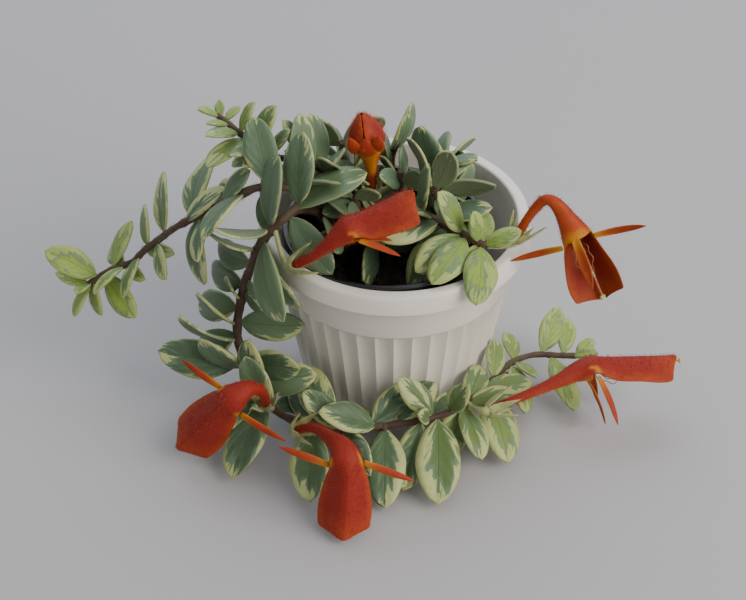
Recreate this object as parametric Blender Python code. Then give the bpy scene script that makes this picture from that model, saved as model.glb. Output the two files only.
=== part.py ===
"""A goldfish plant in flower, in its black nursery pot inside a fluted white pot.

Metres, +Z up. The origin is the centre of the white pot's flat base.
"""
import math
import random

import bmesh
import bpy
from mathutils import Matrix, Vector
from mathutils.bvhtree import BVHTree

GAP = 0.0003                # clearance between touching pieces
SHARP_ANGLE = 35            # degrees

# White pot
POT_HEIGHT = 0.074
POT_BASE_RADIUS = 0.037
POT_TAPER = 0.166           # how fast the wall widens with height
POT_WALL = 0.0017
POT_FLOOR = 0.0020
RIM_RADIUS = 0.0520         # lower edge of the rim's apron
RIM_DEPTH = 0.0078
LIP_OUTER = 0.0509
LIP_INNER = 0.0463
LIP_ROUND = 0.0011
LIP_SLANT = 0.0006          # how much narrower the mouth is at the rim's lower edge
BAND_BOTTOM = 0.0501        # plain band above the flutes
BAND_STEP = 0.0006          # how far the flutes' crests lie inside the band
BAND_EASE = 0.0004          # height over which the band steps out
FLUTE_BOTTOM = 0.0020
FLUTE_EASE = 0.0008         # height over which the flutes begin
FLUTES = 40
FLUTE_DEPTH = 0.0010
CUT_OVER = 0.0030           # how far a cutter stands over what it cuts

# Black nursery pot, standing off centre in the white pot
LINER_CENTRE = (-0.0035, -0.0050)
LINER_TOP = 0.0725
LINER_LIP_RADIUS = 0.0390
LINER_LIP_WIDTH = 0.0030
LINER_BASE_RADIUS = 0.0270
LINER_WALL = 0.0011
LINER_LIP_LOW = 0.0060      # where the wall turns out to the lip, below the top
LINER_LIP_DEPTH = 0.0040
LINER_EDGE = 0.0010         # its rounded upper edge
LINER_SIDES = 36

# Soil
SOIL_TOP = 0.058
SOIL_EDGE = 0.0010          # how much lower its edge is
SOIL_RINGS = (0.8, 0.45)    # where its top is uneven, of its radius
SOIL_UNEVEN = (0.0012, 0.0006)      # how far down and up
SOIL_SIDES = 24
ROOT_DEPTH = 0.011          # how deep a stem stands in its hole
HOLE_CLEAR = 0.0004
HOLE_SIDES = 8

# Leaves
LEAF_THICKNESS = 0.0012
LEAF_ROOT = 0.0004          # how far a leaf starts inside its stem
LEAF_FOLD = 0.28            # rise of the edges over the midrib, of the half width
LEAF_BOW = 0.07             # arch along the midrib, of the length
LEAF_OUTLINE = ((0.0, 0.08), (0.08, 0.08), (0.32, 0.90), (0.76, 0.88), (1.0, 0.0))
NEAR_ROOT = 0.010           # a known leaf this near takes the place of a ruled one
NEAR_ANGLE = 1.2            # radians
LEAF_CLEAR = 0.0005         # round a leaf that has to pass another piece
SWING = 8                   # degrees that a leaf is turned at a time to pass it
SWINGS = 9
SHORTER = (1.0, 0.82)
LEAF_HANG = 1.5             # how much a leaf looks outwards where its stem hangs
LEAF_FRONT = 0.25           # how much it looks to the front
LEAF_OUTWARD = 0.3          # how much more it looks away from the pot
LEAF_JITTER = (14, 10)      # degrees of a pair's turn, and of a leaf's spread and lift
LEAF_SIZES = (0.9, 1.08)    # spread of a leaf's length about the rule
LEAF_CLOSING = 0.35         # how much less a stem's last leaves spread
LEAF_WANING = 1.6           # how late a stem's leaves grow shorter
END_BARE = 0.0010           # a stem's end without leaves
ROUTE_STEPS = 16            # between two given points
STEM_SIDES = 5
STEM_STEP = 0.013
STEM_UPRIGHT = (0.002, 0.005)       # over the soil: straight up to the first, eased by the second

# Blooms
LINE_STEP = 0.0015
TUBE_RADIUS = (0.0019, 0.0050)      # at the calyx and at the mouth
TUBE_FLARE = 2.6            # how late the tube widens
MOUTH_SPREAD = 0.25         # how much wider than deep the mouth is
TUBE_RINGS = 5
TUBE_SIDES = 8
PETAL_THICKNESS = 0.0008
HOOD_HALF_WIDTH = 0.0100
HOOD_OUTLINE = ((0.22, 0.76), (0.45, 0.92), (0.68, 1.0), (0.88, 0.96), (1.0, 0.12))
HOOD_DROP = (0.95, 0.25)    # how far its edges hang, of the half width, and how much less at the tip
HOOD_ROUND = 1.4            # how flat its back is
BUD_OUTLINE = ((0.22, 0.86), (0.45, 0.80), (0.68, 0.60), (0.88, 0.34), (1.0, 0.10))
BUD_WRAP = 2.4              # radians that a bud's hood reaches round to each side
BUD_TUCK = 0.6              # how much less what is inside a bud stands out
LOBE_LENGTH = 0.020
LOBE_HALF_WIDTH = 0.0017
LOBE_SEAT = (0.06, 0.65)    # of the hood's length and of its half width
LOBE_DROOP = 0.1
LOBE_OUTLINE = ((0.0, 0.8), (0.4, 1.0), (1.0, 0.0))
LOBE_THICKNESS = 0.0010
LOBE_FOLD = 0.1
LOBE_BOW = 0.05
LIP_HALF_WIDTH = 0.0024
LIP_OUTLINE = ((0.0, 1.0), (0.45, 0.7), (1.0, 0.0))
SEPAL_LENGTH = 0.014
SEPAL_OUTLINE = ((0.0, 0.8), (0.4, 1.0), (1.0, 0.0))
SEPAL_HALF_WIDTH = 0.0013
SEPAL_THICKNESS = 0.0008
SEPAL_SPREAD = 0.42
SEPAL_FOLD = 0.15
SEPAL_BOW = -0.03
SEPALS = 5
CUP_LENGTH = 0.0030
CUP_RADIUS = 0.0026
CUP_BASE = 0.55             # its base and its mouth, of its radius
CUP_MOUTH = 0.92
CALYX_GAP = 0.00045
STALK_RADIUS = 0.0008
FOOT_STEP = 0.0010          # along the stem, in search of the stalk's foot
FOOT_CLEAR = 0.0007
FILAMENTS = 2
STYLE_LIFT = 0.0006         # pistil above the tube's centre line, stamens as far below
STYLE_DROP = 0.0030         # how much lower the pistil ends under the hood
STYLE_RADIUS = 0.00034
STIGMA_REACH = 0.0016       # past the hood
FILAMENT_RADIUS = 0.00036
FILAMENT_SAG = (0.0045, 0.0053)
FILAMENT_SPREAD = 0.0026
FILAMENT_START = 0.0010     # inside the bundle that it parts from
ANTHER_REACH = 0.55         # of the hood's length
ANTHER_DROP = 0.0040
ANTHER_RADIUS = 0.0012

STEMS = {
    "trailing": {
        "root": (-0.020, -0.006),
        "route": [(-0.024, -0.010, 0.076), (-0.029, -0.015, 0.086), (-0.035, -0.020, 0.091),
                  (-0.042, -0.025, 0.088), (-0.049, -0.024, 0.078), (-0.053, -0.022, 0.066),
                  (-0.057, -0.020, 0.052), (-0.060, -0.022, 0.032), (-0.055, -0.032, 0.018),
                  (-0.044, -0.045, 0.013), (-0.031, -0.053, 0.013), (-0.019, -0.056, 0.014),
                  (-0.005, -0.055, 0.015), (0.008, -0.053, 0.016), (0.019, -0.050, 0.017),
                  (0.028, -0.043, 0.017), (0.037, -0.031, 0.016), (0.046, -0.018, 0.015),
                  (0.055, -0.012, 0.014), (0.064, -0.011, 0.013), (0.072, -0.010, 0.012)],
        "radius": (0.0019, 0.0011),
        "first": 0.036, "spacing": (0.0125, 0.0085),
        "leaf": (0.028, 0.020), "width": 0.44, "spread": 62, "lift": 12, "turn": 0,
    },
    "left": {
        "root": (-0.022, 0.006),
        "route": [(-0.024, 0.000, 0.078), (-0.030, -0.009, 0.092), (-0.039, -0.017, 0.098),
                  (-0.050, -0.016, 0.097), (-0.057, -0.014, 0.092), (-0.067, -0.011, 0.084),
                  (-0.081, -0.009, 0.074), (-0.089, -0.007, 0.066), (-0.095, -0.006, 0.060),
                  (-0.101, -0.005, 0.053), (-0.110, -0.004, 0.048), (-0.118, -0.006, 0.043)],
        "radius": (0.0018, 0.0011),
        "first": 0.048, "spacing": (0.0110, 0.0080),
        "leaf": (0.026, 0.015), "width": 0.45, "spread": 65, "lift": 10, "turn": 0,
    },
    "upper_left": {
        "root": (-0.012, 0.012),
        "route": [(-0.016, 0.008, 0.078), (-0.026, -0.001, 0.094), (-0.036, -0.006, 0.102),
                  (-0.045, -0.006, 0.104), (-0.051, -0.002, 0.106), (-0.056, 0.001, 0.108),
                  (-0.061, 0.005, 0.110), (-0.066, 0.010, 0.111)],
        "radius": (0.0016, 0.0010),
        "first": 0.030, "spacing": (0.0085, 0.0060),
        "leaf": (0.022, 0.012), "width": 0.42, "spread": 60, "lift": 25, "turn": 0,
    },
    "right": {
        "root": (0.008, 0.004),
        "route": [(0.008, 0.000, 0.073), (0.012, -0.010, 0.080), (0.019, -0.018, 0.082),
                  (0.026, -0.024, 0.082), (0.033, -0.028, 0.080)],
        "radius": (0.0017, 0.0012),
        "first": 0.026, "spacing": (0.0085, 0.0070),
        "leaf": (0.024, 0.018), "width": 0.47, "spread": 70, "lift": 10, "turn": 60,
    },
    "crown_middle": {
        "root": (-0.007, -0.003),
        "route": [(-0.009, -0.006, 0.073), (-0.0125, -0.009, 0.081), (-0.0155, -0.0095, 0.088)],
        "radius": (0.0015, 0.0011),
        "first": 0.015, "spacing": (0.0070, 0.0065),
        "leaf": (0.026, 0.021), "width": 0.50, "spread": 76, "lift": 15, "turn": 90,
    },
    "crown_centre": {
        "root": (0.003, 0.010),
        "route": [(0.003, 0.009, 0.073), (0.002, 0.007, 0.083), (0.002, 0.005, 0.090)],
        "radius": (0.0015, 0.0011),
        "first": 0.015, "spacing": (0.0070, 0.0065),
        "leaf": (0.026, 0.021), "width": 0.50, "spread": 76, "lift": 15, "turn": 90,
    },
    "crown_back": {
        "root": (0.009, 0.016),
        "route": [(0.012, 0.018, 0.073), (0.017, 0.015, 0.083), (0.0195, 0.012, 0.091)],
        "radius": (0.0015, 0.0011),
        "first": 0.015, "spacing": (0.0070, 0.0065),
        "leaf": (0.026, 0.021), "width": 0.50, "spread": 76, "lift": 15, "turn": 90,
    },
    "crown_right": {
        "root": (0.016, 0.004),
        "route": [(0.017, 0.003, 0.073), (0.016, -0.001, 0.082), (0.0137, -0.0045, 0.089)],
        "radius": (0.0015, 0.0011),
        "first": 0.015, "spacing": (0.0070, 0.0065),
        "leaf": (0.025, 0.020), "width": 0.50, "spread": 76, "lift": 15, "turn": 90,
    },
    "crown_left": {
        "root": (-0.016, 0.018),
        "route": [(-0.018, 0.020, 0.074), (-0.020, 0.018, 0.086), (-0.020, 0.0135, 0.097)],
        "radius": (0.0015, 0.0011),
        "first": 0.016, "spacing": (0.0072, 0.0065),
        "leaf": (0.027, 0.021), "width": 0.50, "spread": 76, "lift": 15, "turn": 90,
    },
    "crown_far": {
        "root": (-0.002, 0.022),
        "route": [(-0.002, 0.025, 0.073), (-0.001, 0.026, 0.083), (0.001, 0.024, 0.090)],
        "radius": (0.0015, 0.0011),
        "first": 0.016, "spacing": (0.0072, 0.0065),
        "leaf": (0.027, 0.021), "width": 0.50, "spread": 76, "lift": 15, "turn": 90,
    },
}

# Each bloom's centre line runs from its calyx to the hood's tip, and its last
# point but one is the mouth. "top" is where the hood's back faces. "lobes" is how
# far its side lobes and its lip are swept forwards and how far the side lobes are
# turned about the back (degrees), and the length of all three.
BLOOMS = {
    "bloom_1": {"line": [(0.037, -0.052, 0.022), (0.0515, -0.0445, 0.023), (0.064, -0.038, 0.0245),
                         (0.074, -0.033, 0.0255), (0.108, -0.026, 0.027)],
                "top": (0.0, 0.4, 0.9), "stem": "trailing", "size": 1.0, "lobes": (65, 12, 0, 1.0)},
    "bloom_2": {"line": [(0.0445, -0.022, 0.080), (0.051, -0.0205, 0.092), (0.0567, -0.022, 0.097),
                         (0.066, -0.026, 0.084), (0.0775, -0.0345, 0.062)],
                "top": (0.15, 0.9, -0.25), "stem": "right", "size": 1.0, "lobes": (0, 55, 11, 1.0)},
    "bloom_3": {"line": [(-0.0357, -0.0604, 0.018), (-0.0298, -0.0656, 0.024), (-0.0232, -0.075, 0.0285),
                         (-0.0167, -0.087, 0.0285), (-0.0176, -0.103, 0.0035)],
                "top": (0.0, -0.6, 0.8), "stem": "trailing", "size": 1.0, "lobes": (0, 15, -25, 1.0)},
    "bloom_4": {"line": [(-0.048, -0.0485, 0.020), (-0.0487, -0.054, 0.031), (-0.0527, -0.058, 0.0365),
                         (-0.0594, -0.062, 0.0345), (-0.081, -0.063, 0.010)],
                "top": (0.1, -0.6, 0.8), "stem": "trailing", "size": 1.0, "lobes": (0, 15, 22, 1.0)},
    "bloom_5": {"line": [(-0.036, -0.0385, 0.079), (-0.030, -0.0405, 0.084), (-0.0235, -0.0405, 0.090),
                         (-0.0165, -0.038, 0.095), (0.0063, -0.0305, 0.107)],
                "top": (-0.3, -0.1, 0.95), "stem": "trailing", "size": 1.0, "lobes": (60, 45, 0, 0.8)},
    "bloom_6": {"line": [(-0.0087, 0.0035, 0.083), (-0.0087, 0.0015, 0.091), (-0.0092, 0.0, 0.099),
                         (-0.0098, -0.001, 0.105), (-0.0125, -0.003, 0.121)],
                "top": (0.0, 1.0, 0.1), "stem": "crown_centre", "size": 0.85, "bud": True,
                "lobes": (80, 80, 0, 0.4)},
}

# Leaves whose pose is known: distance along the stem (m), bearing and pitch
# (degrees, bearing 0 along +X and 90 along +Y), and length (m)
SHOWN = {
    "trailing": [
        (0.054, 55, 20, 0.031), (0.052, 95, 50, 0.030), (0.065, 75, 55, 0.029), (0.056, -55, -25, 0.027),
        (0.065, -150, 20, 0.025), (0.077, -165, 35, 0.024), (0.079, -50, -20, 0.028), (0.070, -40, -35, 0.034),
        (0.094, -55, -10, 0.011), (0.100, -50, -15, 0.012), (0.105, -170, 65, 0.014), (0.117, -170, 50, 0.024),
        (0.123, -165, 35, 0.028), (0.132, 180, 10, 0.034), (0.134, -165, 45, 0.025), (0.143, 160, 75, 0.024),
        (0.154, -170, 75, 0.024), (0.180, 115, 20, 0.029), (0.174, 115, 20, 0.028), (0.197, -165, 30, 0.026),
        (0.184, 175, 45, 0.022), (0.115, -10, 15, 0.027), (0.172, -90, -15, 0.033), (0.150, -110, -15, 0.036),
        (0.146, -120, -15, 0.034), (0.200, -90, -20, 0.034), (0.220, -90, -20, 0.037), (0.219, 170, 50, 0.022),
        (0.217, -125, 60, 0.014), (0.225, -35, 65, 0.020), (0.231, -70, -20, 0.024), (0.235, -95, -25, 0.026),
        (0.244, -80, -20, 0.032), (0.251, 85, 25, 0.018), (0.266, 100, 10, 0.016), (0.278, 65, 30, 0.022),
        (0.287, 75, 30, 0.017), (0.282, -70, -15, 0.027), (0.264, -75, -20, 0.022), (0.214, -105, -20, 0.029),
        (0.266, -45, 0, 0.012), (0.292, 45, 10, 0.012), (0.293, 80, 35, 0.012), (0.291, -25, 30, 0.012),
    ],
    "left": [
        (0.093, 0, 55, 0.020), (0.111, 0, 40, 0.022), (0.108, 75, 40, 0.033), (0.122, 95, 35, 0.026),
        (0.132, 100, 35, 0.018), (0.152, 60, 45, 0.021), (0.158, 180, 35, 0.024), (0.160, 150, 65, 0.013),
        (0.163, 175, 20, 0.014), (0.162, -145, 5, 0.011), (0.162, -120, -35, 0.015), (0.161, -70, -50, 0.014),
        (0.155, -50, -25, 0.022), (0.146, -40, -10, 0.012), (0.134, -20, 10, 0.013), (0.127, -75, -25, 0.017),
        (0.104, -85, -70, 0.028), (0.083, 160, 0, 0.025), (0.099, -100, -25, 0.022),
    ],
    "upper_left": [
        (0.083, 20, 65, 0.018), (0.077, 0, 55, 0.014), (0.091, 25, 65, 0.014), (0.091, -155, 20, 0.015),
        (0.096, -150, 25, 0.011), (0.088, -135, -10, 0.020), (0.081, -150, 15, 0.014), (0.080, 165, -30, 0.015),
        (0.075, -145, 5, 0.014), (0.086, 5, 70, 0.009), (0.102, -160, 35, 0.010), (0.101, 100, 20, 0.009),
        (0.099, 50, 20, 0.009),
    ],
    "right": [
        (0.058, -140, -15, 0.024), (0.051, -145, -50, 0.028), (0.060, -115, -25, 0.026), (0.066, -95, -20, 0.026),
        (0.065, -115, -15, 0.011), (0.058, -175, 65, 0.022), (0.065, 180, 80, 0.015), (0.066, 80, 20, 0.015),
        (0.067, -5, 30, 0.016), (0.064, 75, 25, 0.020), (0.065, 55, 20, 0.024), (0.061, 80, 20, 0.025),
        (0.047, -150, 5, 0.026), (0.043, -150, 30, 0.020),
    ],
    "crown_middle": [
        (0.044, 175, 30, 0.019), (0.040, -145, 25, 0.016), (0.040, -95, 10, 0.018), (0.043, 135, -5, 0.017),
        (0.043, -30, 30, 0.014),
    ],
    "crown_centre": [
        (0.038, 120, 5, 0.016), (0.038, -45, 25, 0.016), (0.036, -140, 35, 0.016), (0.042, 85, 0, 0.018),
    ],
    "crown_back": [(0.044, 90, 0, 0.020), (0.045, 50, 5, 0.018), (0.044, -40, 30, 0.018)],
    "crown_right": [
        (0.043, 130, 50, 0.022), (0.042, -20, 70, 0.021), (0.041, 30, 25, 0.020), (0.039, -20, 35, 0.025),
        (0.036, -25, 30, 0.017), (0.035, -90, 5, 0.010),
    ],
    "crown_left": [
        (0.048, 180, 40, 0.022), (0.046, -110, 10, 0.018), (0.045, 70, -20, 0.016), (0.040, -80, 0, 0.018),
    ],
}

# A short side shoot of the trailing stem, with its own leaves
SHOOT = {
    "stem": "trailing",
    "route": [(-0.003, -0.0545, 0.0155), (-0.0035, -0.062, 0.012), (-0.004, -0.070, 0.009),
              (-0.004, -0.077, 0.0075)],
    "radius": (0.0012, 0.0010),
    "leaves": [(0.021, -95, -8, 0.025), (0.013, -130, 0, 0.018), (0.014, -45, 0, 0.018)],
}


def clear_scene():
    for obj in list(bpy.data.objects):
        bpy.data.objects.remove(obj, do_unlink=True)


def material(name, colour, roughness, metallic=0.0):
    mat = bpy.data.materials.new(name)
    mat.use_nodes = True
    shader = mat.node_tree.nodes["Principled BSDF"]
    shader.inputs["Base Color"].default_value = (*colour, 1.0)
    shader.inputs["Roughness"].default_value = roughness
    shader.inputs["Metallic"].default_value = metallic
    mat.diffuse_color = (*colour, 1.0)
    return mat


def add_object(name, mesh, mat):
    obj = bpy.data.objects.new(name, mesh)
    bpy.context.scene.collection.objects.link(obj)
    mesh.materials.clear()
    mesh.materials.append(mat)
    return obj


def smooth_route(points, step):
    """Evenly spaced points along a smooth curve through the given ones."""
    pts = [Vector(p) for p in points]
    ends = [2 * pts[0] - pts[1]] + pts + [2 * pts[-1] - pts[-2]]
    fine = []
    for a, b, c, d in zip(ends, ends[1:], ends[2:], ends[3:]):
        for i in range(ROUTE_STEPS):
            t = i / ROUTE_STEPS
            fine.append(0.5 * (2 * b + (c - a) * t + (2 * a - 5 * b + 4 * c - d) * t ** 2
                               + (3 * b - a - 3 * c + d) * t ** 3))
    fine.append(pts[-1])
    run = [0.0]
    for a, b in zip(fine, fine[1:]):
        run.append(run[-1] + (b - a).length)
    count = max(2, round(run[-1] / step))
    return [point_at(fine, run, run[-1] * i / count) for i in range(count + 1)]


def point_at(fine, run, distance):
    i = 1
    while i < len(run) - 1 and run[i] < distance:
        i += 1
    share = (distance - run[i - 1]) / max(run[i] - run[i - 1], 1e-9)
    return fine[i - 1].lerp(fine[i], min(max(share, 0.0), 1.0))


def along(points, distance):
    """Place and direction at a distance along a route."""
    for a, b in zip(points, points[1:]):
        length = (b - a).length
        if distance <= length:
            return a.lerp(b, distance / length), (b - a).normalized()
        distance -= length
    return points[-1].copy(), (points[-1] - points[-2]).normalized()


def route_length(points):
    return sum((b - a).length for a, b in zip(points, points[1:]))


def square_to(vector, direction):
    """The part of a vector that is square to a direction, at unit length."""
    v = Vector(vector) - Vector(vector).dot(direction) * direction
    if v.length < 1e-6:
        v = direction.orthogonal()
    return v.normalized()


def loft(bm, rings):
    """A closed solid through rings of equal count; a last ring may be one point."""
    rows = [[bm.verts.new(p) for p in ring] for ring in rings]
    for low, high in zip(rows, rows[1:]):
        n = len(low)
        for i in range(n):
            j = (i + 1) % n
            if len(high) == 1:
                bm.faces.new((low[i], low[j], high[0]))
            else:
                bm.faces.new((low[i], low[j], high[j]))
                bm.faces.new((low[i], high[j], high[i]))
    bm.faces.new(list(reversed(rows[0])))
    if len(rows[-1]) > 1:
        bm.faces.new(rows[-1])


def tube(bm, points, radii, sides):
    """A round stem along points, its frame carried on without twist."""
    rings = []
    side = None
    for i, p in enumerate(points):
        ahead = points[min(i + 1, len(points) - 1)] - points[max(i - 1, 0)]
        ahead.normalize()
        side = square_to(side if side else ahead.orthogonal(), ahead)
        other = ahead.cross(side)
        rings.append([p + radii[i] * (math.cos(a) * side + math.sin(a) * other)
                      for a in (2 * math.pi * k / sides for k in range(sides))])
    loft(bm, rings)


def blade(bm, root, direction, face, length, half_width, thickness, outline, fold, bow):
    """A thin pointed blade, folded along its midrib and bowed along its length.

    Its upper and lower faces meet at the edges and share their diagonals.
    """
    direction = direction.normalized()
    face = square_to(face, direction)
    side = face.cross(direction)
    rows = []
    for u, w in outline:
        centre = root + direction * (length * u) + face * (4 * bow * length * u * (1 - u))
        if w == 0.0:
            rows.append([centre])
            continue
        half = half_width * w
        rise = face * (fold * half)
        body = face * (thickness / 2)
        rows.append([centre + side * half + rise, centre + body,
                     centre - side * half + rise, centre - body])
    rows = [[bm.verts.new(p) for p in row] for row in rows]
    for low, high in zip(rows, rows[1:]):
        edge_a, top, edge_b, under = low
        if len(high) == 1:
            for a, b in ((edge_a, top), (top, edge_b), (edge_b, under), (under, edge_a)):
                bm.faces.new((a, b, high[0]))
            continue
        far_a, far_top, far_b, far_under = high
        for mid, far_mid, flip in ((top, far_top, False), (under, far_under, True)):
            for edge, far_edge, turn in ((edge_a, far_a, flip), (edge_b, far_b, not flip)):
                tris = ((edge, mid, far_mid), (edge, far_mid, far_edge))
                for tri in tris:
                    bm.faces.new(tri if not turn else tuple(reversed(tri)))
    bm.faces.new(list(reversed(rows[0])))


def to_mesh(bm, name):
    bmesh.ops.recalc_face_normals(bm, faces=bm.faces[:])
    mesh = bpy.data.meshes.new(name)
    bm.to_mesh(mesh)
    bm.free()
    return mesh


# Leafy stems

def stem_points(spec):
    """A stem's route: straight in its hole, then a smooth curve."""
    x, y = spec["root"]
    upright, eased = STEM_UPRIGHT
    straight = [Vector((x, y, SOIL_TOP - ROOT_DEPTH)), Vector((x, y, SOIL_TOP + upright))]
    start = [(x, y, SOIL_TOP + upright), (x, y, SOIL_TOP + eased)]
    return straight + smooth_route(start + spec["route"], STEM_STEP)[1:]


def shoot_points():
    return smooth_route(SHOOT["route"], STEM_STEP)


def stem_radii(spec, points):
    thick, thin = spec["radius"]
    total = route_length(points)
    run = 0.0
    radii = [thick]
    for a, b in zip(points, points[1:]):
        run += (b - a).length
        radii.append(thick + (thin - thick) * run / total)
    return radii


def leaf_plan(name, spec, rng):
    """A stem's leaves as root, direction, face and length: the known ones, then
    opposite pairs by the rule wherever none of the known ones is near."""
    points = stem_points(spec)
    shown = [(points, leaf) for leaf in SHOWN.get(name, ())]
    if name == SHOOT["stem"]:
        shown += [(shoot_points(), leaf) for leaf in SHOOT["leaves"]]
    known = []
    for line, (distance, bearing, pitch, length) in shown:
        root, ahead = along(line, distance)
        known.append({"root": root, "direction": compass(bearing, pitch), "length": length,
                      "face": leaf_face(root, ahead) + LEAF_OUTWARD * outward(root),
                      "width": spec["width"], "known": True})
    total = route_length(points)
    wide, close = spec["spacing"]
    longest, shortest = spec["leaf"]
    distance = spec["first"]
    turning, parting = LEAF_JITTER
    ruled = []
    while distance < total - END_BARE:
        share = (distance - spec["first"]) / (total - spec["first"])
        root, ahead = along(points, distance)
        turn = spec["turn"] * (len(ruled) // 2 % 2) + rng.uniform(-turning, turning)
        face = Matrix.Rotation(math.radians(turn), 3, ahead) @ leaf_face(root, ahead)
        side = face.cross(ahead)
        for hand in (1, -1):
            spread = math.radians(spec["spread"] * (1 - LEAF_CLOSING * share) + rng.uniform(-parting, parting))
            lift = math.radians(spec["lift"] + rng.uniform(-parting, parting))
            flat = math.cos(spread) * ahead + math.sin(spread) * hand * side
            length = (longest + (shortest - longest) * share ** LEAF_WANING) * rng.uniform(*LEAF_SIZES)
            ruled.append({"root": root, "direction": math.cos(lift) * flat + math.sin(lift) * face,
                          "length": length, "face": face + LEAF_OUTWARD * outward(root),
                          "width": spec["width"], "known": False})
        distance += wide + (close - wide) * share
    return known + [leaf for leaf in ruled if not any(stands_for(other, leaf) for other in known)]


def stands_for(known, leaf):
    apart = (known["root"] - leaf["root"]).length
    return apart < NEAR_ROOT and known["direction"].angle(leaf["direction"]) < NEAR_ANGLE


def compass(bearing, pitch):
    """A direction from its bearing in plan, 0 along +X, and its pitch, in degrees."""
    b, p = math.radians(bearing), math.radians(pitch)
    return Vector((math.cos(p) * math.cos(b), math.cos(p) * math.sin(b), math.sin(p)))


def outward(place):
    flat = Vector((place.x, place.y, 0.0))
    return flat.normalized() if flat.length > 0.02 else Vector((0.0, 0.0, 1.0))


def leaf_face(root, ahead):
    """Leaves look up, and outwards where their stem hangs down."""
    hang = max(0.0, -ahead.z)
    face = Vector((0.0, -LEAF_FRONT, 1.0)) + hang * LEAF_HANG * outward(root)
    return square_to(face, ahead)


def leaf_blade(bm, leaf, spare=0.0, start=0):
    blade(bm, leaf["root"] - leaf["direction"] * LEAF_ROOT, leaf["direction"], leaf["face"],
          leaf["length"] + spare, leaf["length"] * leaf["width"] / 2 + spare,
          LEAF_THICKNESS + 2 * spare, LEAF_OUTLINE[start:], LEAF_FOLD, LEAF_BOW)


def tree_of(bm):
    tree = BVHTree.FromBMesh(bm)
    bounds = box_of([v.co for v in bm.verts])
    bm.free()
    return tree, bounds


def box_of(points):
    return (Vector(min(p[i] for p in points) for i in range(3)),
            Vector(max(p[i] for p in points) for i in range(3)))


def meets(one, other):
    (tree_a, (low_a, high_a)), (tree_b, (low_b, high_b)) = one, other
    if any(low_a[i] > high_b[i] or low_b[i] > high_a[i] for i in range(3)):
        return False
    return bool(tree_a.overlap(tree_b))


def leaf_tree(leaf, spare, start):
    bm = bmesh.new()
    leaf_blade(bm, leaf, spare, start)
    return tree_of(bm)


def swung(leaf, lift, swing):
    """The same leaf turned about its root, up by lift and sideways by swing."""
    direction = leaf["direction"].normalized()
    face = square_to(leaf["face"], direction)
    side = face.cross(direction)
    turned = Matrix.Rotation(lift, 3, side) @ Matrix.Rotation(swing, 3, face)
    return {**leaf, "direction": turned @ direction, "face": turned @ face}


def settle(leaf, strangers, kin):
    """Turn a leaf as little as needed until it is clear, or give it up."""
    for length in SHORTER:
        for step in range(SWINGS):
            reach = math.radians(SWING * step)
            for k in range(8 if step else 1):
                tried = swung(leaf, reach * math.sin(k * math.pi / 4), reach * math.cos(k * math.pi / 4))
                tried["length"] = leaf["length"] * length
                shape = leaf_tree(tried, LEAF_CLEAR, 0)
                if shape[1][0].z < GAP + LEAF_CLEAR:
                    continue
                if any(meets(shape, other) for other in strangers):
                    continue
                tip = leaf_tree(tried, LEAF_CLEAR / 2, 1)
                if any(meets(tip, other) for other in kin):
                    continue
                return tried
    return None


def settle_leaves(fixed, own_trees):
    """Every stem's leaves, the posed ones first, each clear of all the others."""
    rng = random.Random(7)
    plans = [(name, leaf) for name, spec in STEMS.items() for leaf in leaf_plan(name, spec, rng)]
    plans.sort(key=lambda item: not item[1]["known"])
    settled = {name: [] for name in STEMS}
    shapes = {name: [] for name in STEMS}
    tips = {name: [] for name in STEMS}
    for name, leaf in plans:
        strangers = list(fixed)
        for other in STEMS:
            if other != name:
                strangers += shapes[other] + [own_trees[other]]
        leaf = settle(leaf, strangers, tips[name])
        if leaf:
            settled[name].append(leaf)
            shapes[name].append(leaf_tree(leaf, 0.0, 0))
            tips[name].append(leaf_tree(leaf, 0.0, 1))
    return settled


def fuse(name, meshes, mat):
    """One body from many: a union on a collection, applied, the collection then removed."""
    base, *rest = meshes
    obj = add_object(name, base, mat)
    if not rest:
        return obj
    group = bpy.data.collections.new(name + "_parts")
    bpy.context.scene.collection.children.link(group)
    for i, mesh in enumerate(rest):
        part = bpy.data.objects.new(f"{name}_part_{i}", mesh)
        group.objects.link(part)
    union = obj.modifiers.new("fuse", "BOOLEAN")
    union.operation = "UNION"
    union.operand_type = "COLLECTION"
    union.collection = group
    union.solver = "MANIFOLD"
    fused = evaluated(obj)
    obj.modifiers.clear()
    obj.data = largest_shell(fused)
    for part in list(group.objects):
        bpy.data.objects.remove(part, do_unlink=True)
    bpy.data.collections.remove(group)
    return obj


def largest_shell(mesh):
    """Drop loose scraps, and fill any hollow that the union has sealed."""
    bm = bmesh.new()
    bm.from_mesh(mesh)
    seen = set()
    shells = []
    for start in bm.verts:
        if start in seen:
            continue
        shell = [start]
        seen.add(start)
        for vert in shell:
            for edge in vert.link_edges:
                other = edge.other_vert(vert)
                if other not in seen:
                    seen.add(other)
                    shell.append(other)
        shells.append(shell)
    shells.sort(key=len)
    for shell in shells[:-1]:
        bmesh.ops.delete(bm, geom=shell, context="VERTS")
    bm.to_mesh(mesh)
    bm.free()
    return mesh


def evaluated(obj):
    graph = bpy.context.evaluated_depsgraph_get()
    return bpy.data.meshes.new_from_object(obj.evaluated_get(graph))


def stem_lines(name):
    """The stem's own line, with its side shoot's if it has one."""
    lines = [(STEMS[name], stem_points(STEMS[name]))]
    if name == SHOOT["stem"]:
        lines.append((SHOOT, shoot_points()))
    return lines


def leafy_stem(name, leaves, mat):
    meshes = []
    for spec, points in stem_lines(name):
        bm = bmesh.new()
        tube(bm, points, stem_radii(spec, points), STEM_SIDES)
        meshes.append(to_mesh(bm, name))
    for leaf in leaves:
        bm = bmesh.new()
        leaf_blade(bm, leaf)
        meshes.append(to_mesh(bm, name + "_leaf"))
    return fuse("stem_" + name, meshes, mat)


# Blooms

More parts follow.
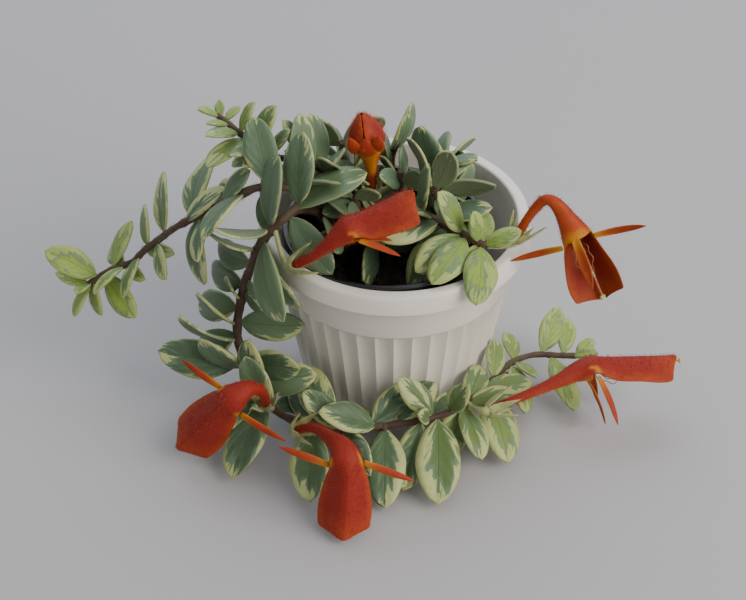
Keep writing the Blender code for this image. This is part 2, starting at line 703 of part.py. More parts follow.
class BloomFrame:
    """A bloom's centre line, with its sides and its back at every distance."""

    def __init__(self, spec):
        self.size = spec["size"]
        self.bud = spec.get("bud", False)
        self.lobes = spec["lobes"]
        self.points = smooth_route(spec["line"], LINE_STEP)
        mouth = Vector(spec["line"][-2])
        nearest = min(range(len(self.points)), key=lambda i: (self.points[i] - mouth).length)
        self.mouth = route_length(self.points[:nearest + 1])
        self.length = route_length(self.points)
        self.backs = self.carried(Vector(spec["top"]).normalized(), nearest)

    def carried(self, top, start):
        """The back at every point, carried both ways from the mouth without twist."""
        backs = {start: square_to(top, self.ahead_of(start))}
        for i in range(start + 1, len(self.points)):
            backs[i] = square_to(backs[i - 1], self.ahead_of(i))
        for i in range(start - 1, -1, -1):
            backs[i] = square_to(backs[i + 1], self.ahead_of(i))
        return backs

    def ahead_of(self, i):
        last = len(self.points) - 1
        return (self.points[min(i + 1, last)] - self.points[max(i - 1, 0)]).normalized()

    def at(self, distance):
        place, ahead = along(self.points, distance)
        step = self.length / (len(self.points) - 1)
        at = min(max(distance / step, 0.0), len(self.points) - 1.001)
        i = int(at)
        ahead = self.ahead_of(i).lerp(self.ahead_of(i + 1), at - i).normalized()
        back = square_to(self.backs[i].lerp(self.backs[i + 1], at - i), ahead)
        return place, ahead, ahead.cross(back), back

    def tube_radius(self, share):
        low, high = TUBE_RADIUS
        return (low + (high - low) * share ** TUBE_FLARE) * (0.75 + 0.25 * self.size)

    def tube_point(self, share, angle):
        """A point of the tube, at a share of its length and an angle from its side to its back."""
        place, ahead, side, back = self.at(self.mouth * share)
        radius = self.tube_radius(share)
        wide = radius * (1 + MOUTH_SPREAD * share ** 2)
        return place + wide * math.cos(angle) * side + radius * math.sin(angle) * back

    def hood_edge(self, share, width, across):
        """A point of the hood, its two edges at across 1 and -1. A bud's hood wraps round."""
        place, ahead, side, back = self.at(self.mouth + (self.length - self.mouth) * share)
        if self.bud:
            angle = across * BUD_WRAP * min(1.0, 0.7 + share)
            return place + width * (math.sin(angle) * side + math.cos(angle) * back)
        drop = width * (HOOD_DROP[0] - HOOD_DROP[1] * share)
        height = self.tube_radius(1.0) * (1 - share) - drop * abs(across) ** HOOD_ROUND
        return place + side * (across * width) + back * height


def corolla_surface(frame):
    """The tube and the hood as one open sheet, the hood grown from the tube's back half."""
    bm = bmesh.new()
    rows = []
    for i in range(TUBE_RINGS + 1):
        rows.append([bm.verts.new(frame.tube_point(i / TUBE_RINGS, 2 * math.pi * k / TUBE_SIDES))
                     for k in range(TUBE_SIDES)])
    for low, high in zip(rows, rows[1:]):
        for k in range(TUBE_SIDES):
            j = (k + 1) % TUBE_SIDES
            bm.faces.new((low[k], low[j], high[j], high[k]))
    half = TUBE_SIDES // 2
    last = rows[-1][:half + 1]
    for share, wide in BUD_OUTLINE if frame.bud else HOOD_OUTLINE:
        width = HOOD_HALF_WIDTH * wide * frame.size
        row = [bm.verts.new(frame.hood_edge(share, width, math.cos(math.pi * k / half)))
               for k in range(half + 1)]
        for k in range(half):
            bm.faces.new((last[k], last[k + 1], row[k + 1], row[k]))
        last = row
    return bm


def lobe_poses(frame):
    """Root, direction, face, half width and outline of the two side lobes and the lip."""
    side_sweep, lip_sweep, turn = (math.radians(a) for a in frame.lobes[:3])
    place, ahead, side, back = frame.at(frame.mouth)
    half_wall = PETAL_THICKNESS / 2
    lip = ahead * math.sin(lip_sweep) - back * math.cos(lip_sweep)
    root = frame.tube_point(1.0, -math.pi / 2) + back * half_wall - ahead * 2 * half_wall
    poses = [(root, lip, back if frame.bud else ahead, LIP_HALF_WIDTH, LIP_OUTLINE)]
    width = HOOD_HALF_WIDTH * LOBE_SEAT[1] * frame.size
    for hand in (1, -1):
        root = frame.hood_edge(LOBE_SEAT[0], width, hand) - side * (hand * half_wall)
        direction = side * (hand * math.cos(side_sweep)) + lip * math.sin(side_sweep) - back * LOBE_DROOP
        direction.rotate(Matrix.Rotation(turn, 3, back))
        poses.append((root, direction, back, LOBE_HALF_WIDTH, LOBE_OUTLINE))
    return poses


def corolla(name, frame, mat):
    sheet = add_object(name + "_sheet", to_mesh(corolla_surface(frame), name), mat)
    wall = sheet.modifiers.new("wall", "SOLIDIFY")
    wall.thickness = PETAL_THICKNESS
    wall.offset = -1.0
    meshes = [evaluated(sheet)]
    bpy.data.objects.remove(sheet, do_unlink=True)
    length = LOBE_LENGTH * frame.size * frame.lobes[3]
    for root, direction, face, half_width, outline in lobe_poses(frame):
        bm = bmesh.new()
        blade(bm, root, direction, face, length, half_width * frame.size, LOBE_THICKNESS, outline,
              LOBE_FOLD, LOBE_BOW)
        meshes.append(to_mesh(bm, name + "_lobe"))
    return fuse(name, meshes, mat)


def calyx(name, frame, stem_spec, mat):
    """Stalk, cup and five narrow sepals, its foot just clear of the stem."""
    seat, ahead, side, back = frame.at(0.0)
    points = stem_points(stem_spec)
    steps = int(route_length(points) / FOOT_STEP)
    nearest = min(range(steps), key=lambda i: (along(points, FOOT_STEP * i)[0] - seat).length)
    near = along(points, FOOT_STEP * nearest)[0]
    thick, thin = stem_spec["radius"]
    radius = thick + (thin - thick) * nearest / steps
    cup_base = seat - ahead * CUP_LENGTH
    foot = near + (cup_base - near).normalized() * (radius + FOOT_CLEAR)
    middle = foot.lerp(cup_base, 0.6) - ahead * CUP_LENGTH / 3
    bm = bmesh.new()
    tube(bm, [foot, middle, cup_base, cup_base + ahead * 0.4 * CUP_LENGTH, seat - ahead * CALYX_GAP],
         [STALK_RADIUS, STALK_RADIUS, CUP_RADIUS * CUP_BASE, CUP_RADIUS, CUP_RADIUS * CUP_MOUTH], 6)
    meshes = [to_mesh(bm, name)]
    for k in range(SEPALS):
        a = 2 * math.pi * k / SEPALS + math.pi / 2
        out = math.cos(a) * side + math.sin(a) * back
        bm = bmesh.new()
        root = seat - ahead * 0.6 * CUP_LENGTH + out * 0.8 * CUP_RADIUS
        blade(bm, root, ahead + out * SEPAL_SPREAD, -out, SEPAL_LENGTH * frame.size, SEPAL_HALF_WIDTH,
              SEPAL_THICKNESS, SEPAL_OUTLINE, SEPAL_FOLD, SEPAL_BOW)
        meshes.append(to_mesh(bm, name + "_sepal"))
    return fuse(name, meshes, mat)


def tube_line(frame, lift):
    """A line up the tube, bent at the tube's own rings, off its centre by lift."""
    line = []
    for i in range(TUBE_RINGS + 1):
        place, ahead, side, back = frame.at(max(CALYX_GAP, frame.mouth * i / TUBE_RINGS))
        line.append(place + back * lift)
    return line


def hood_point(frame, share, lift, reach=0.0):
    """A point under the hood, at a share of its length, off the centre line by lift."""
    if frame.bud:
        share, lift = share * BUD_TUCK, lift * BUD_TUCK
    place, ahead, side, back = frame.at(frame.mouth + (frame.length - frame.mouth) * share)
    return place + back * lift + ahead * reach


def pistil(name, frame, mat):
    """The style lies along the tube's back and under the hood, and ends in the stigma."""
    line = tube_line(frame, STYLE_LIFT)
    for share, wide in HOOD_OUTLINE:
        line.append(hood_point(frame, share, STYLE_LIFT - STYLE_DROP * share))
    line.append(hood_point(frame, 1.0, STYLE_LIFT - STYLE_DROP, STIGMA_REACH))
    bm = bmesh.new()
    tube(bm, line, [STYLE_RADIUS] * (len(line) - 1) + [2 * STYLE_RADIUS], 4)
    return fuse(name, [to_mesh(bm, name)], mat)


def stamens(name, frame, mat):
    """Filaments in one bundle up the tube, sagging apart and joined at their anthers."""
    bundle = tube_line(frame, -STYLE_LIFT)
    bm = bmesh.new()
    tube(bm, bundle, [STYLE_RADIUS] * len(bundle), 4)
    meshes = [to_mesh(bm, name)]
    end = hood_point(frame, ANTHER_REACH, -ANTHER_DROP)
    place, ahead, side, back = frame.at(frame.mouth)
    for k in range(FILAMENTS):
        spread = (k - (FILAMENTS - 1) / 2) * FILAMENT_SPREAD
        low = hood_point(frame, ANTHER_REACH * 0.5, -FILAMENT_SAG[k % 2]) + side * spread
        bm = bmesh.new()
        high = bundle[-1] - ahead * FILAMENT_START
        tube(bm, [high, low, end + side * spread * 0.3], [FILAMENT_RADIUS] * 3, 3)
        meshes.append(to_mesh(bm, name + "_filament"))
    bm = bmesh.new()
    width = side * ANTHER_RADIUS * 4 / 3
    tube(bm, [end - width, end + width], [ANTHER_RADIUS] * 2, 4)
    meshes.append(to_mesh(bm, name + "_anthers"))
    return fuse(name, meshes, mat)


# Pots and soil

def turned(profile, sides):
    """A closed solid turned about Z from (radius, height) points, bottom to top."""
    bm = bmesh.new()
    verts = [bm.verts.new((r, 0.0, z)) for r, z in profile]
    edges = [bm.edges.new(pair) for pair in zip(verts, verts[1:])]
    bmesh.ops.spin(bm, geom=verts + edges, cent=(0, 0, 0), axis=(0, 0, 1), angle=2 * math.pi,
                   steps=sides, use_merge=True, use_duplicate=False)
    bmesh.ops.remove_doubles(bm, verts=bm.verts, dist=1e-6)
    return bm


def pot_radius(z):
    return POT_BASE_RADIUS + POT_TAPER * z


def pot(mat):
    """Turned outside with its flutes pressed in, then the cavity cut out."""
    flutes_from = FLUTE_BOTTOM + FLUTE_EASE
    apron = POT_HEIGHT - RIM_DEPTH
    profile = [(0.0, 0.0), (POT_BASE_RADIUS, 0.0), (pot_radius(FLUTE_BOTTOM), FLUTE_BOTTOM),
               (pot_radius(flutes_from) - BAND_STEP, flutes_from),
               (pot_radius(BAND_BOTTOM) - BAND_STEP, BAND_BOTTOM),
               (pot_radius(BAND_BOTTOM), BAND_BOTTOM + BAND_EASE),
               (pot_radius(apron), apron), (RIM_RADIUS, apron), (LIP_OUTER, POT_HEIGHT - LIP_ROUND),
               (LIP_OUTER - LIP_ROUND, POT_HEIGHT), (0.0, POT_HEIGHT)]
    bm = turned(profile, 2 * FLUTES)
    for v in bm.verts:
        if any(abs(v.co.z - z) < 1e-6 for z in (flutes_from, BAND_BOTTOM)):
            step = round(math.atan2(v.co.y, v.co.x) / (math.pi / FLUTES))
            if step % 2:
                flat = Vector((v.co.x, v.co.y, 0.0))
                v.co -= flat.normalized() * FLUTE_DEPTH
    outside = add_object("pot", to_mesh(bm, "pot"), mat)
    inset = POT_WALL + FLUTE_DEPTH
    hollow = [(0.0, POT_FLOOR), (pot_radius(POT_FLOOR) - inset, POT_FLOOR),
              (pot_radius(BAND_BOTTOM) - inset, BAND_BOTTOM), (LIP_INNER - LIP_SLANT, apron),
              (LIP_INNER, POT_HEIGHT - LIP_ROUND), (LIP_INNER + LIP_ROUND, POT_HEIGHT),
              (LIP_INNER + LIP_ROUND, POT_HEIGHT + CUT_OVER), (0.0, POT_HEIGHT + CUT_OVER)]
    cavity = add_object("pot_cavity", to_mesh(turned(hollow, FLUTES), "cavity"), mat)
    cavity.hide_render = True
    cavity.display_type = "WIRE"
    cut = outside.modifiers.new("cavity", "BOOLEAN")
    cut.operation = "DIFFERENCE"
    cut.object = cavity
    return outside


def nursery_pot(mat):
    floor = POT_FLOOR + GAP
    lip = LINER_LIP_RADIUS
    wall_top = lip - LINER_LIP_WIDTH + LINER_WALL
    profile = [(0.0, floor), (LINER_BASE_RADIUS, floor), (wall_top, LINER_TOP - LINER_LIP_LOW),
               (lip, LINER_TOP - LINER_LIP_DEPTH), (lip, LINER_TOP - LINER_EDGE),
               (lip - LINER_EDGE, LINER_TOP),
               (wall_top - LINER_WALL + LINER_EDGE / 2, LINER_TOP - LINER_EDGE / 2),
               (wall_top - LINER_WALL, LINER_TOP - LINER_LIP_DEPTH),
               (LINER_BASE_RADIUS - LINER_WALL, floor + LINER_WALL), (0.0, floor + LINER_WALL)]
    bm = turned(profile, LINER_SIDES)
    bmesh.ops.translate(bm, verts=bm.verts, vec=(*LINER_CENTRE, 0.0))
    return add_object("nursery_pot", to_mesh(bm, "nursery_pot"), mat)


def soil(mat):
    """Uneven top, with a plain hole for each stem."""
    floor = POT_FLOOR + GAP + LINER_WALL + GAP
    inner = LINER_LIP_RADIUS - LINER_LIP_WIDTH
    base = LINER_BASE_RADIUS - LINER_WALL
    rise = (inner - base) / (LINER_TOP - LINER_LIP_DEPTH - floor)
    edge = SOIL_TOP - SOIL_EDGE
    low = base - 2 * GAP
    high = low + rise * (edge - floor)
    profile = [(0.0, floor), (low, floor), (high, edge)]
    profile += [(high * ring, SOIL_TOP) for ring in SOIL_RINGS] + [(0.0, SOIL_TOP)]
    bm = turned(profile, SOIL_SIDES)
    rng = random.Random(3)
    down, up = SOIL_UNEVEN
    for v in bm.verts:
        if v.co.z > SOIL_TOP - 1e-5:
            v.co.z += rng.uniform(-down, up)
    bmesh.ops.translate(bm, verts=bm.verts, vec=(*LINER_CENTRE, 0.0))
    bmesh.ops.triangulate(bm, faces=bm.faces)
    body = add_object("soil", to_mesh(bm, "soil"), mat)
    for name, spec in STEMS.items():
        x, y = spec["root"]
        radius = (spec["radius"][0] + HOLE_CLEAR) / math.cos(math.pi / HOLE_SIDES)
        depth = ROOT_DEPTH + GAP + CUT_OVER
        bm = bmesh.new()
        bmesh.ops.create_cone(bm, cap_ends=True, segments=HOLE_SIDES, radius1=radius, radius2=radius,
                              depth=depth)
        bmesh.ops.translate(bm, verts=bm.verts, vec=(x, y, SOIL_TOP - ROOT_DEPTH - GAP + depth / 2))
        hole = add_object("hole_" + name, to_mesh(bm, "hole"), mat)
        hole.hide_render = True
        hole.display_type = "WIRE"
        cut = body.modifiers.new(name, "BOOLEAN")
        cut.operation = "DIFFERENCE"
        cut.object = hole
    return body


def shade(obj):
    mesh = obj.data
    mesh.shade_smooth()
    mesh.set_sharp_from_angle(angle=math.radians(SHARP_ANGLE))


def build():
    clear_scene()
    white = material("white_plastic", (0.80, 0.78, 0.74), 0.38)
    black = material("black_plastic", (0.012, 0.012, 0.015), 0.30)
    earth = material("potting_soil", (0.030, 0.022, 0.016), 0.95)
    green = material("leaf_green", (0.13, 0.22, 0.09), 0.50)
    pale = material("calyx_green", (0.40, 0.48, 0.16), 0.55)
    red = material("petal_red", (0.46, 0.035, 0.014), 0.45)
    pink = material("filament_pink", (0.50, 0.22, 0.14), 0.45)
    cream = material("pistil_cream", (0.62, 0.66, 0.34), 0.45)
    frames = {name: BloomFrame(spec) for name, spec in BLOOMS.items()}
    solids = [pot(white), nursery_pot(black), soil(earth)]
    for name, frame in frames.items():
        solids.append(corolla(name + "_corolla", frame, red))
        solids.append(calyx(name + "_calyx", frame, STEMS[BLOOMS[name]["stem"]], pale))
        solids.append(stamens(name + "_stamens", frame, pink))
        solids.append(pistil(name + "_pistil", frame, cream))
    fixed = []
    for obj in solids:
        bm = bmesh.new()
        bm.from_mesh(evaluated(obj))
        fixed.append(tree_of(bm))
    own = {}
    for name in STEMS:
        bm = bmesh.new()
        for spec, points in stem_lines(name):
            tube(bm, points, stem_radii(spec, points), STEM_SIDES)
        own[name] = tree_of(bm)
    for name, leaves in settle_leaves(fixed, own).items():
        solids.append(leafy_stem(name, leaves, green))
    for obj in solids:
        shade(obj)


build()
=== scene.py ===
# A goldfish plant in flower, in a black nursery pot inside a fluted white pot
import math
import random

import bmesh
import bpy
from mathutils import Matrix, Vector, noise
from mathutils.kdtree import KDTree


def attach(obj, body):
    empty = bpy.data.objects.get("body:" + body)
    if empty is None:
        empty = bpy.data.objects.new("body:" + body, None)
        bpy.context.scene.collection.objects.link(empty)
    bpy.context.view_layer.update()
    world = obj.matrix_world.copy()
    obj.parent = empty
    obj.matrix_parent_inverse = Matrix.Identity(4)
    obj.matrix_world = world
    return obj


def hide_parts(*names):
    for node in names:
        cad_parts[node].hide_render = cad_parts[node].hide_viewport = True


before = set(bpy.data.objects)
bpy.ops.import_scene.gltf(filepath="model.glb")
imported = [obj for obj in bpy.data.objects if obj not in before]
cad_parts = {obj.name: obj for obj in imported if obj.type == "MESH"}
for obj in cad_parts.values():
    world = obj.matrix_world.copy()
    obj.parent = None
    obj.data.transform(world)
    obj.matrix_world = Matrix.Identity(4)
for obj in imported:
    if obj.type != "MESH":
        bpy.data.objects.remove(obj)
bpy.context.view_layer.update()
print("frame loaded:", len(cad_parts), "nodes")


# Camera, at the photograph's viewing angle
cameraPlace = {"at": (0.0, -0.5757, 0.5053), "looksAt": (-0.0080, -0.0198, 0.0476), "lens": 91.69, "sensor": 36.0}


def makeCamera(place):
    data = bpy.data.cameras.new("camera")
    data.lens = place["lens"]
    data.sensor_width = place["sensor"]
    data.clip_end = 10.0
    camera = bpy.data.objects.new("camera", data)
    bpy.context.scene.collection.objects.link(camera)
    camera.location = place["at"]
    towards = Vector(place["looksAt"]) - Vector(place["at"])
    camera.rotation_euler = towards.to_track_quat("-Z", "Y").to_euler()
    bpy.context.scene.camera = camera


makeCamera(cameraPlace)


# Small helpers for shader trees

def addNode(tree, kind, settings=None, **inputs):
    made = tree.nodes.new(kind)
    for name, value in (settings or {}).items():
        setattr(made, name, value)
    for name, value in inputs.items():
        put(tree, made, name.replace("_", " "), value)
    return made


def put(tree, made, name, value):
    socket = made.inputs[int(name[1:])] if name[0] == "i" and name[1:].isdigit() else made.inputs[name]
    if isinstance(value, bpy.types.NodeSocket):
        tree.links.new(value, socket)
    else:
        socket.default_value = value


def maths(tree, operation, a, b=0.0, c=0.0, clamp=False):
    return addNode(tree, "ShaderNodeMath", {"operation": operation, "use_clamp": clamp}, i0=a, i1=b, i2=c).outputs[0]


def smoothStep(tree, value, low, high):
    return addNode(tree, "ShaderNodeMapRange", {"interpolation_type": "SMOOTHSTEP"},
                   Value=value, From_Min=low, From_Max=high).outputs[0]


def mixColour(tree, share, a, b):
    made = addNode(tree, "ShaderNodeMix", {"data_type": "RGBA"})
    put(tree, made, "i0", share)
    put(tree, made, "i6", a)
    put(tree, made, "i7", b)
    return made.outputs[2]


def noiseValue(tree, vector, scale, detail=2.0, roughness=0.5):
    made = addNode(tree, "ShaderNodeTexNoise", None, Vector=vector, Scale=scale, Detail=detail, Roughness=roughness)
    return made.outputs["Fac"]


def attribute(tree, name):
    return addNode(tree, "ShaderNodeAttribute", {"attribute_name": name}).outputs["Fac"]


def startGroup(name, inputs, outputs):
    group = bpy.data.node_groups.new(name, "ShaderNodeTree")
    for label, kind, value in inputs:
        socket = group.interface.new_socket(label, in_out="INPUT", socket_type=kind)
        socket.default_value = value
    for label, kind in outputs:
        group.interface.new_socket(label, in_out="OUTPUT", socket_type=kind)
    return group, group.nodes.new("NodeGroupInput"), group.nodes.new("NodeGroupOutput")


def useGroup(tree, group, **inputs):
    made = tree.nodes.new("ShaderNodeGroup")
    made.node_tree = group
    for name, value in inputs.items():
        put(tree, made, name, value)
    return made


def startMaterial(name, **settings):
    made = bpy.data.materials.new(name)
    made.use_nodes = True
    tree = made.node_tree
    shader = tree.nodes["Principled BSDF"]
    for label, value in settings.items():
        shader.inputs[label.replace("_", " ")].default_value = value
    return made, tree, shader


def bumpInto(tree, shader, height, strength, distance):
    bump = addNode(tree, "ShaderNodeBump", None, Strength=strength, Distance=distance, Height=height)
    tree.links.new(bump.outputs["Normal"], shader.inputs["Normal"])


def objectCoords(tree):
    return addNode(tree, "ShaderNodeTexCoord").outputs["Object"]


# Shared effects

petalLayers = ("petalAlong", "petalBack", "petalEdge", "petalGlow")


def makeSpeckleGroup():
    # two sizes of noise, as a 0 to 1 mask
    group, given, out = startGroup(
        "speckle", [("coarse", "NodeSocketFloat", 60.0), ("fine", "NodeSocketFloat", 900.0)],
        [("mask", "NodeSocketFloat"), ("grain", "NodeSocketFloat")])
    coords = objectCoords(group)
    coarse = noiseValue(group, coords, given.outputs["coarse"], 3.0)
    fine = noiseValue(group, coords, given.outputs["fine"], 2.0)
    put(group, out, "mask", smoothStep(group, coarse, 0.35, 0.68))
    put(group, out, "grain", fine)
    return group


def makeLeafGroup():
    # cream flames that run in from a leaf's margin and tip along its veins, over two greens
    colours = [("centre", (0.045, 0.085, 0.032, 1)), ("middle", (0.13, 0.19, 0.095, 1)),
               ("margin", (0.52, 0.55, 0.25, 1)), ("fresh", (0.22, 0.34, 0.055, 1))]
    group, given, out = startGroup(
        "leafPattern", [(name, "NodeSocketColor", value) for name, value in colours],
        [("colour", "NodeSocketColor"), ("height", "NodeSocketFloat"), ("pale", "NodeSocketFloat")])
    tone, cream, fresh = (attribute(group, name) for name in ("leafTone", "leafCream", "leafFresh"))
    uv = addNode(group, "ShaderNodeUVMap", {"uv_map": "leafUV"}).outputs[0]
    parts = addNode(group, "ShaderNodeSeparateXYZ", None, Vector=uv)
    across = maths(group, "MULTIPLY_ADD", parts.outputs["X"], 2.0, -1.0)
    out1 = maths(group, "ABSOLUTE", across)
    along = parts.outputs["Y"]
    slant = maths(group, "SUBTRACT", along, maths(group, "MULTIPLY", out1, 0.38))
    seed = maths(group, "MULTIPLY", tone, 61.0)

    def leafNoise(alongScale, acrossScale, shift, detail):
        place = addNode(group, "ShaderNodeCombineXYZ", None, X=maths(group, "MULTIPLY", slant, alongScale),
                        Y=maths(group, "ADD", seed, shift), Z=maths(group, "MULTIPLY", across, acrossScale)).outputs[0]
        return maths(group, "SUBTRACT", noiseValue(group, place, 1.0, detail), 0.5)

    fingers = leafNoise(11.0, 1.6, 0.0, 2.0)
    flames = leafNoise(2.6, 1.5, 5.3, 1.0)
    oneSide = maths(group, "MULTIPLY", leafNoise(0.0, 0.0, 11.7, 0.0), across)
    tip = maths(group, "POWER", maths(group, "MULTIPLY_ADD", along, 1.5, -0.5, clamp=True), 1.5)
    edgeReach = maths(group, "MULTIPLY", maths(group, "POWER", out1, 1.4), 0.78)
    reach = maths(group, "MAXIMUM", edgeReach, tip)
    reach = maths(group, "MULTIPLY_ADD", fingers, 1.15, reach)
    reach = maths(group, "MULTIPLY_ADD", flames, 1.5, reach)
    reach = maths(group, "MULTIPLY_ADD", oneSide, 1.6, reach)
    streak = smoothStep(group, out1, 0.16, 0.03)
    reach = maths(group, "MULTIPLY_ADD", streak, -0.35, reach)
    start = maths(group, "MULTIPLY_ADD", cream, -0.80, 0.98)
    middleMask = smoothStep(group, maths(group, "SUBTRACT", reach, start), -0.34, -0.12)
    creamMask = smoothStep(group, maths(group, "SUBTRACT", reach, start), -0.03, 0.04)
    rim = maths(group, "MULTIPLY", smoothStep(group, out1, 0.90, 0.98), 0.40)
    centre = mixColour(group, tone, given.outputs["centre"], given.outputs["middle"])
    centre = mixColour(group, fresh, centre, given.outputs["fresh"])
    # painted sheen: lighter streaks along the veins, mixed toward the middle green, stand in for the leaf's silvery
    # sheen
    paintedSheen = smoothStep(group, fingers, 0.0, 0.16)
    colour = mixColour(group, maths(group, "MULTIPLY", paintedSheen, 0.22), centre, given.outputs["middle"])
    colour = mixColour(group, maths(group, "MULTIPLY", middleMask, 0.75), colour, given.outputs["middle"])
    margin = mixColour(group, maths(group, "MULTIPLY", fresh, 0.55), given.outputs["margin"], given.outputs["fresh"])
    colour = mixColour(group, maths(group, "MAXIMUM", creamMask, rim), colour, margin)
    rib = smoothStep(group, out1, 0.05, 0.01)
    colour = mixColour(group, maths(group, "MULTIPLY", rib, 0.35), colour, given.outputs["centre"])
    veins = maths(group, "SINE", maths(group, "MULTIPLY", slant, 40.0))
    put(group, out, "colour", colour)
    put(group, out, "height", maths(group, "MULTIPLY_ADD", veins, 0.12, maths(group, "MULTIPLY", rib, -0.8)))
    put(group, out, "pale", creamMask)
    return group


def makePetalGroup():
    # red back, orange belly and edges, yellow where the piece's own glow attribute says
    colours = [("red", (0.30, 0.016, 0.006, 1)), ("orange", (0.62, 0.10, 0.012, 1)), ("yellow", (0.80, 0.36, 0.02, 1)),
               ("dark", (0.10, 0.006, 0.004, 1))]
    group, given, out = startGroup(
        "petalPattern", [(name, "NodeSocketColor", value) for name, value in colours],
        [("colour", "NodeSocketColor"), ("height", "NodeSocketFloat")])
    along, back, edge, glow = (attribute(group, name) for name in petalLayers)
    coords = objectCoords(group)
    blotch = noiseValue(group, coords, 260.0, 3.0)
    grain = noiseValue(group, coords, 2600.0, 2.0)
    spread = maths(group, "MULTIPLY_ADD", blotch, 1.4, -0.7)
    belly = smoothStep(group, maths(group, "MULTIPLY_ADD", spread, 0.6, back), 0.25, -0.9)
    sides = smoothStep(group, maths(group, "MULTIPLY_ADD", spread, 0.25, edge), 0.34, 0.02)
    ends = smoothStep(group, maths(group, "MULTIPLY_ADD", spread, 0.3, along), 1.62, 2.02)
    warm = maths(group, "MAXIMUM", belly, maths(group, "MULTIPLY", maths(group, "MAXIMUM", sides, ends), 0.75))
    colour = mixColour(group, warm, given.outputs["red"], given.outputs["orange"])
    shine = smoothStep(group, maths(group, "MULTIPLY_ADD", spread, 0.4, glow), 0.15, 0.95)
    colour = mixColour(group, shine, colour, given.outputs["yellow"])
    keel = smoothStep(group, edge, 0.95, 0.995)
    hood = smoothStep(group, along, 1.05, 1.25)
    patches = smoothStep(group, blotch, 0.38, 0.72)
    shade = maths(group, "MAXIMUM", maths(group, "MULTIPLY", maths(group, "MULTIPLY", keel, hood), 0.5),
                  maths(group, "MULTIPLY", patches, 0.16))
    colour = mixColour(group, shade, colour, given.outputs["dark"])
    put(group, out, "colour", colour)
    put(group, out, "height", maths(group, "MULTIPLY_ADD", blotch, 0.8, grain))
    return group


speckleGroup = makeSpeckleGroup()
leafGroup = makeLeafGroup()
petalGroup = makePetalGroup()


# Materials

def plasticMaterial(name, look):
    mat, tree, shader = startMaterial(name, Specular_IOR_Level=look["gloss"])
    group = useGroup(tree, speckleGroup, coarse=look["coarse"], fine=look["fine"])
    colour = mixColour(tree, maths(tree, "MULTIPLY", group.outputs["mask"], look["mottle"]), look["colour"], look["worn"])
    tree.links.new(colour, shader.inputs["Base Color"])
    rough = maths(tree, "MULTIPLY_ADD", group.outputs["mask"], look["roughSpread"], look["roughness"])
    tree.links.new(rough, shader.inputs["Roughness"])
    bumpInto(tree, shader, group.outputs["grain"], look["bump"], 0.0002)
    return mat


def leafMaterial(name, look):
    mat, tree, shader = startMaterial(name, Roughness=look["roughness"], Specular_IOR_Level=0.38,
                                      Sheen_Weight=look["sheen"], Sheen_Roughness=0.5)
    shader.inputs["Sheen Tint"].default_value = (0.8, 0.9, 0.85, 1)
    group = useGroup(tree, leafGroup, centre=look["centre"], middle=look["middle"], margin=look["margin"],
                     fresh=look["fresh"])
    fine = useGroup(tree, speckleGroup, coarse=300.0, fine=2400.0)
    colour = mixColour(tree, maths(tree, "MULTIPLY", fine.outputs["mask"], 0.18), group.outputs["colour"], look["middle"])
    tree.links.new(colour, shader.inputs["Base Color"])
    height = maths(tree, "MULTIPLY_ADD", fine.outputs["grain"], 0.7, group.outputs["height"])
    bumpInto(tree, shader, height, look["bump"], 0.0004)
    return mat


def petalMaterial(name, look):
    mat, tree, shader = startMaterial(name, Roughness=0.55, Specular_IOR_Level=0.22, Sheen_Weight=0.06,
                                      Sheen_Roughness=0.4)
    shader.inputs["Sheen Tint"].default_value = (1.0, 0.35, 0.25, 1)
    group = useGroup(tree, petalGroup, red=look["red"], orange=look["orange"], yellow=look["yellow"], dark=look["dark"])
    tree.links.new(group.outputs["colour"], shader.inputs["Base Color"])
    bumpInto(tree, shader, group.outputs["height"], 0.5, 0.0003)
    return mat


def mottledMaterial(name, look):
    mat, tree, shader = startMaterial(name, Roughness=look["roughness"], Sheen_Weight=look.get("sheen", 0.0))
    group = useGroup(tree, speckleGroup, coarse=look["coarse"], fine=look["fine"])
    colour = mixColour(tree, group.outputs["mask"], look["colour"], look["second"])
    tree.links.new(colour, shader.inputs["Base Color"])
    bumpInto(tree, shader, group.outputs["grain"], look["bump"], look.get("deep", 0.0004))
    return mat


whitePlastic = plasticMaterial("whitePlastic", {
    "colour": (0.84, 0.80, 0.72, 1), "worn": (0.76, 0.72, 0.63, 1), "mottle": 0.45, "roughness": 0.27,
    "roughSpread": 0.12, "gloss": 0.4, "coarse": 55.0, "fine": 1300.0, "bump": 0.12})
blackPlastic = plasticMaterial("blackPlastic", {
    "colour": (0.006, 0.006, 0.007, 1), "worn": (0.020, 0.019, 0.018, 1), "mottle": 0.6, "roughness": 0.20,
    "roughSpread": 0.25, "gloss": 0.45, "coarse": 90.0, "fine": 1500.0, "bump": 0.1})
leafTop = leafMaterial("leafTop", {
    "centre": (0.036, 0.072, 0.032, 1), "middle": (0.140, 0.220, 0.128, 1), "margin": (0.49, 0.53, 0.215, 1),
    "fresh": (0.28, 0.40, 0.045, 1), "roughness": 0.44, "sheen": 0.12, "bump": 0.35})
leafUnder = leafMaterial("leafUnder", {
    "centre": (0.10, 0.145, 0.065, 1), "middle": (0.17, 0.22, 0.115, 1), "margin": (0.44, 0.47, 0.22, 1),
    "fresh": (0.28, 0.38, 0.07, 1), "roughness": 0.6, "sheen": 0.2, "bump": 0.6})
woodMaterial = mottledMaterial("stemBark", {
    "colour": (0.060, 0.022, 0.013, 1), "second": (0.085, 0.058, 0.024, 1), "roughness": 0.62, "coarse": 160.0,
    "fine": 1800.0, "bump": 0.6, "sheen": 0.15})
hairMaterial = mottledMaterial("stemHair", {
    "colour": (0.30, 0.19, 0.12, 1), "second": (0.42, 0.38, 0.25, 1), "roughness": 0.5, "coarse": 200.0,
    "fine": 900.0, "bump": 0.0})
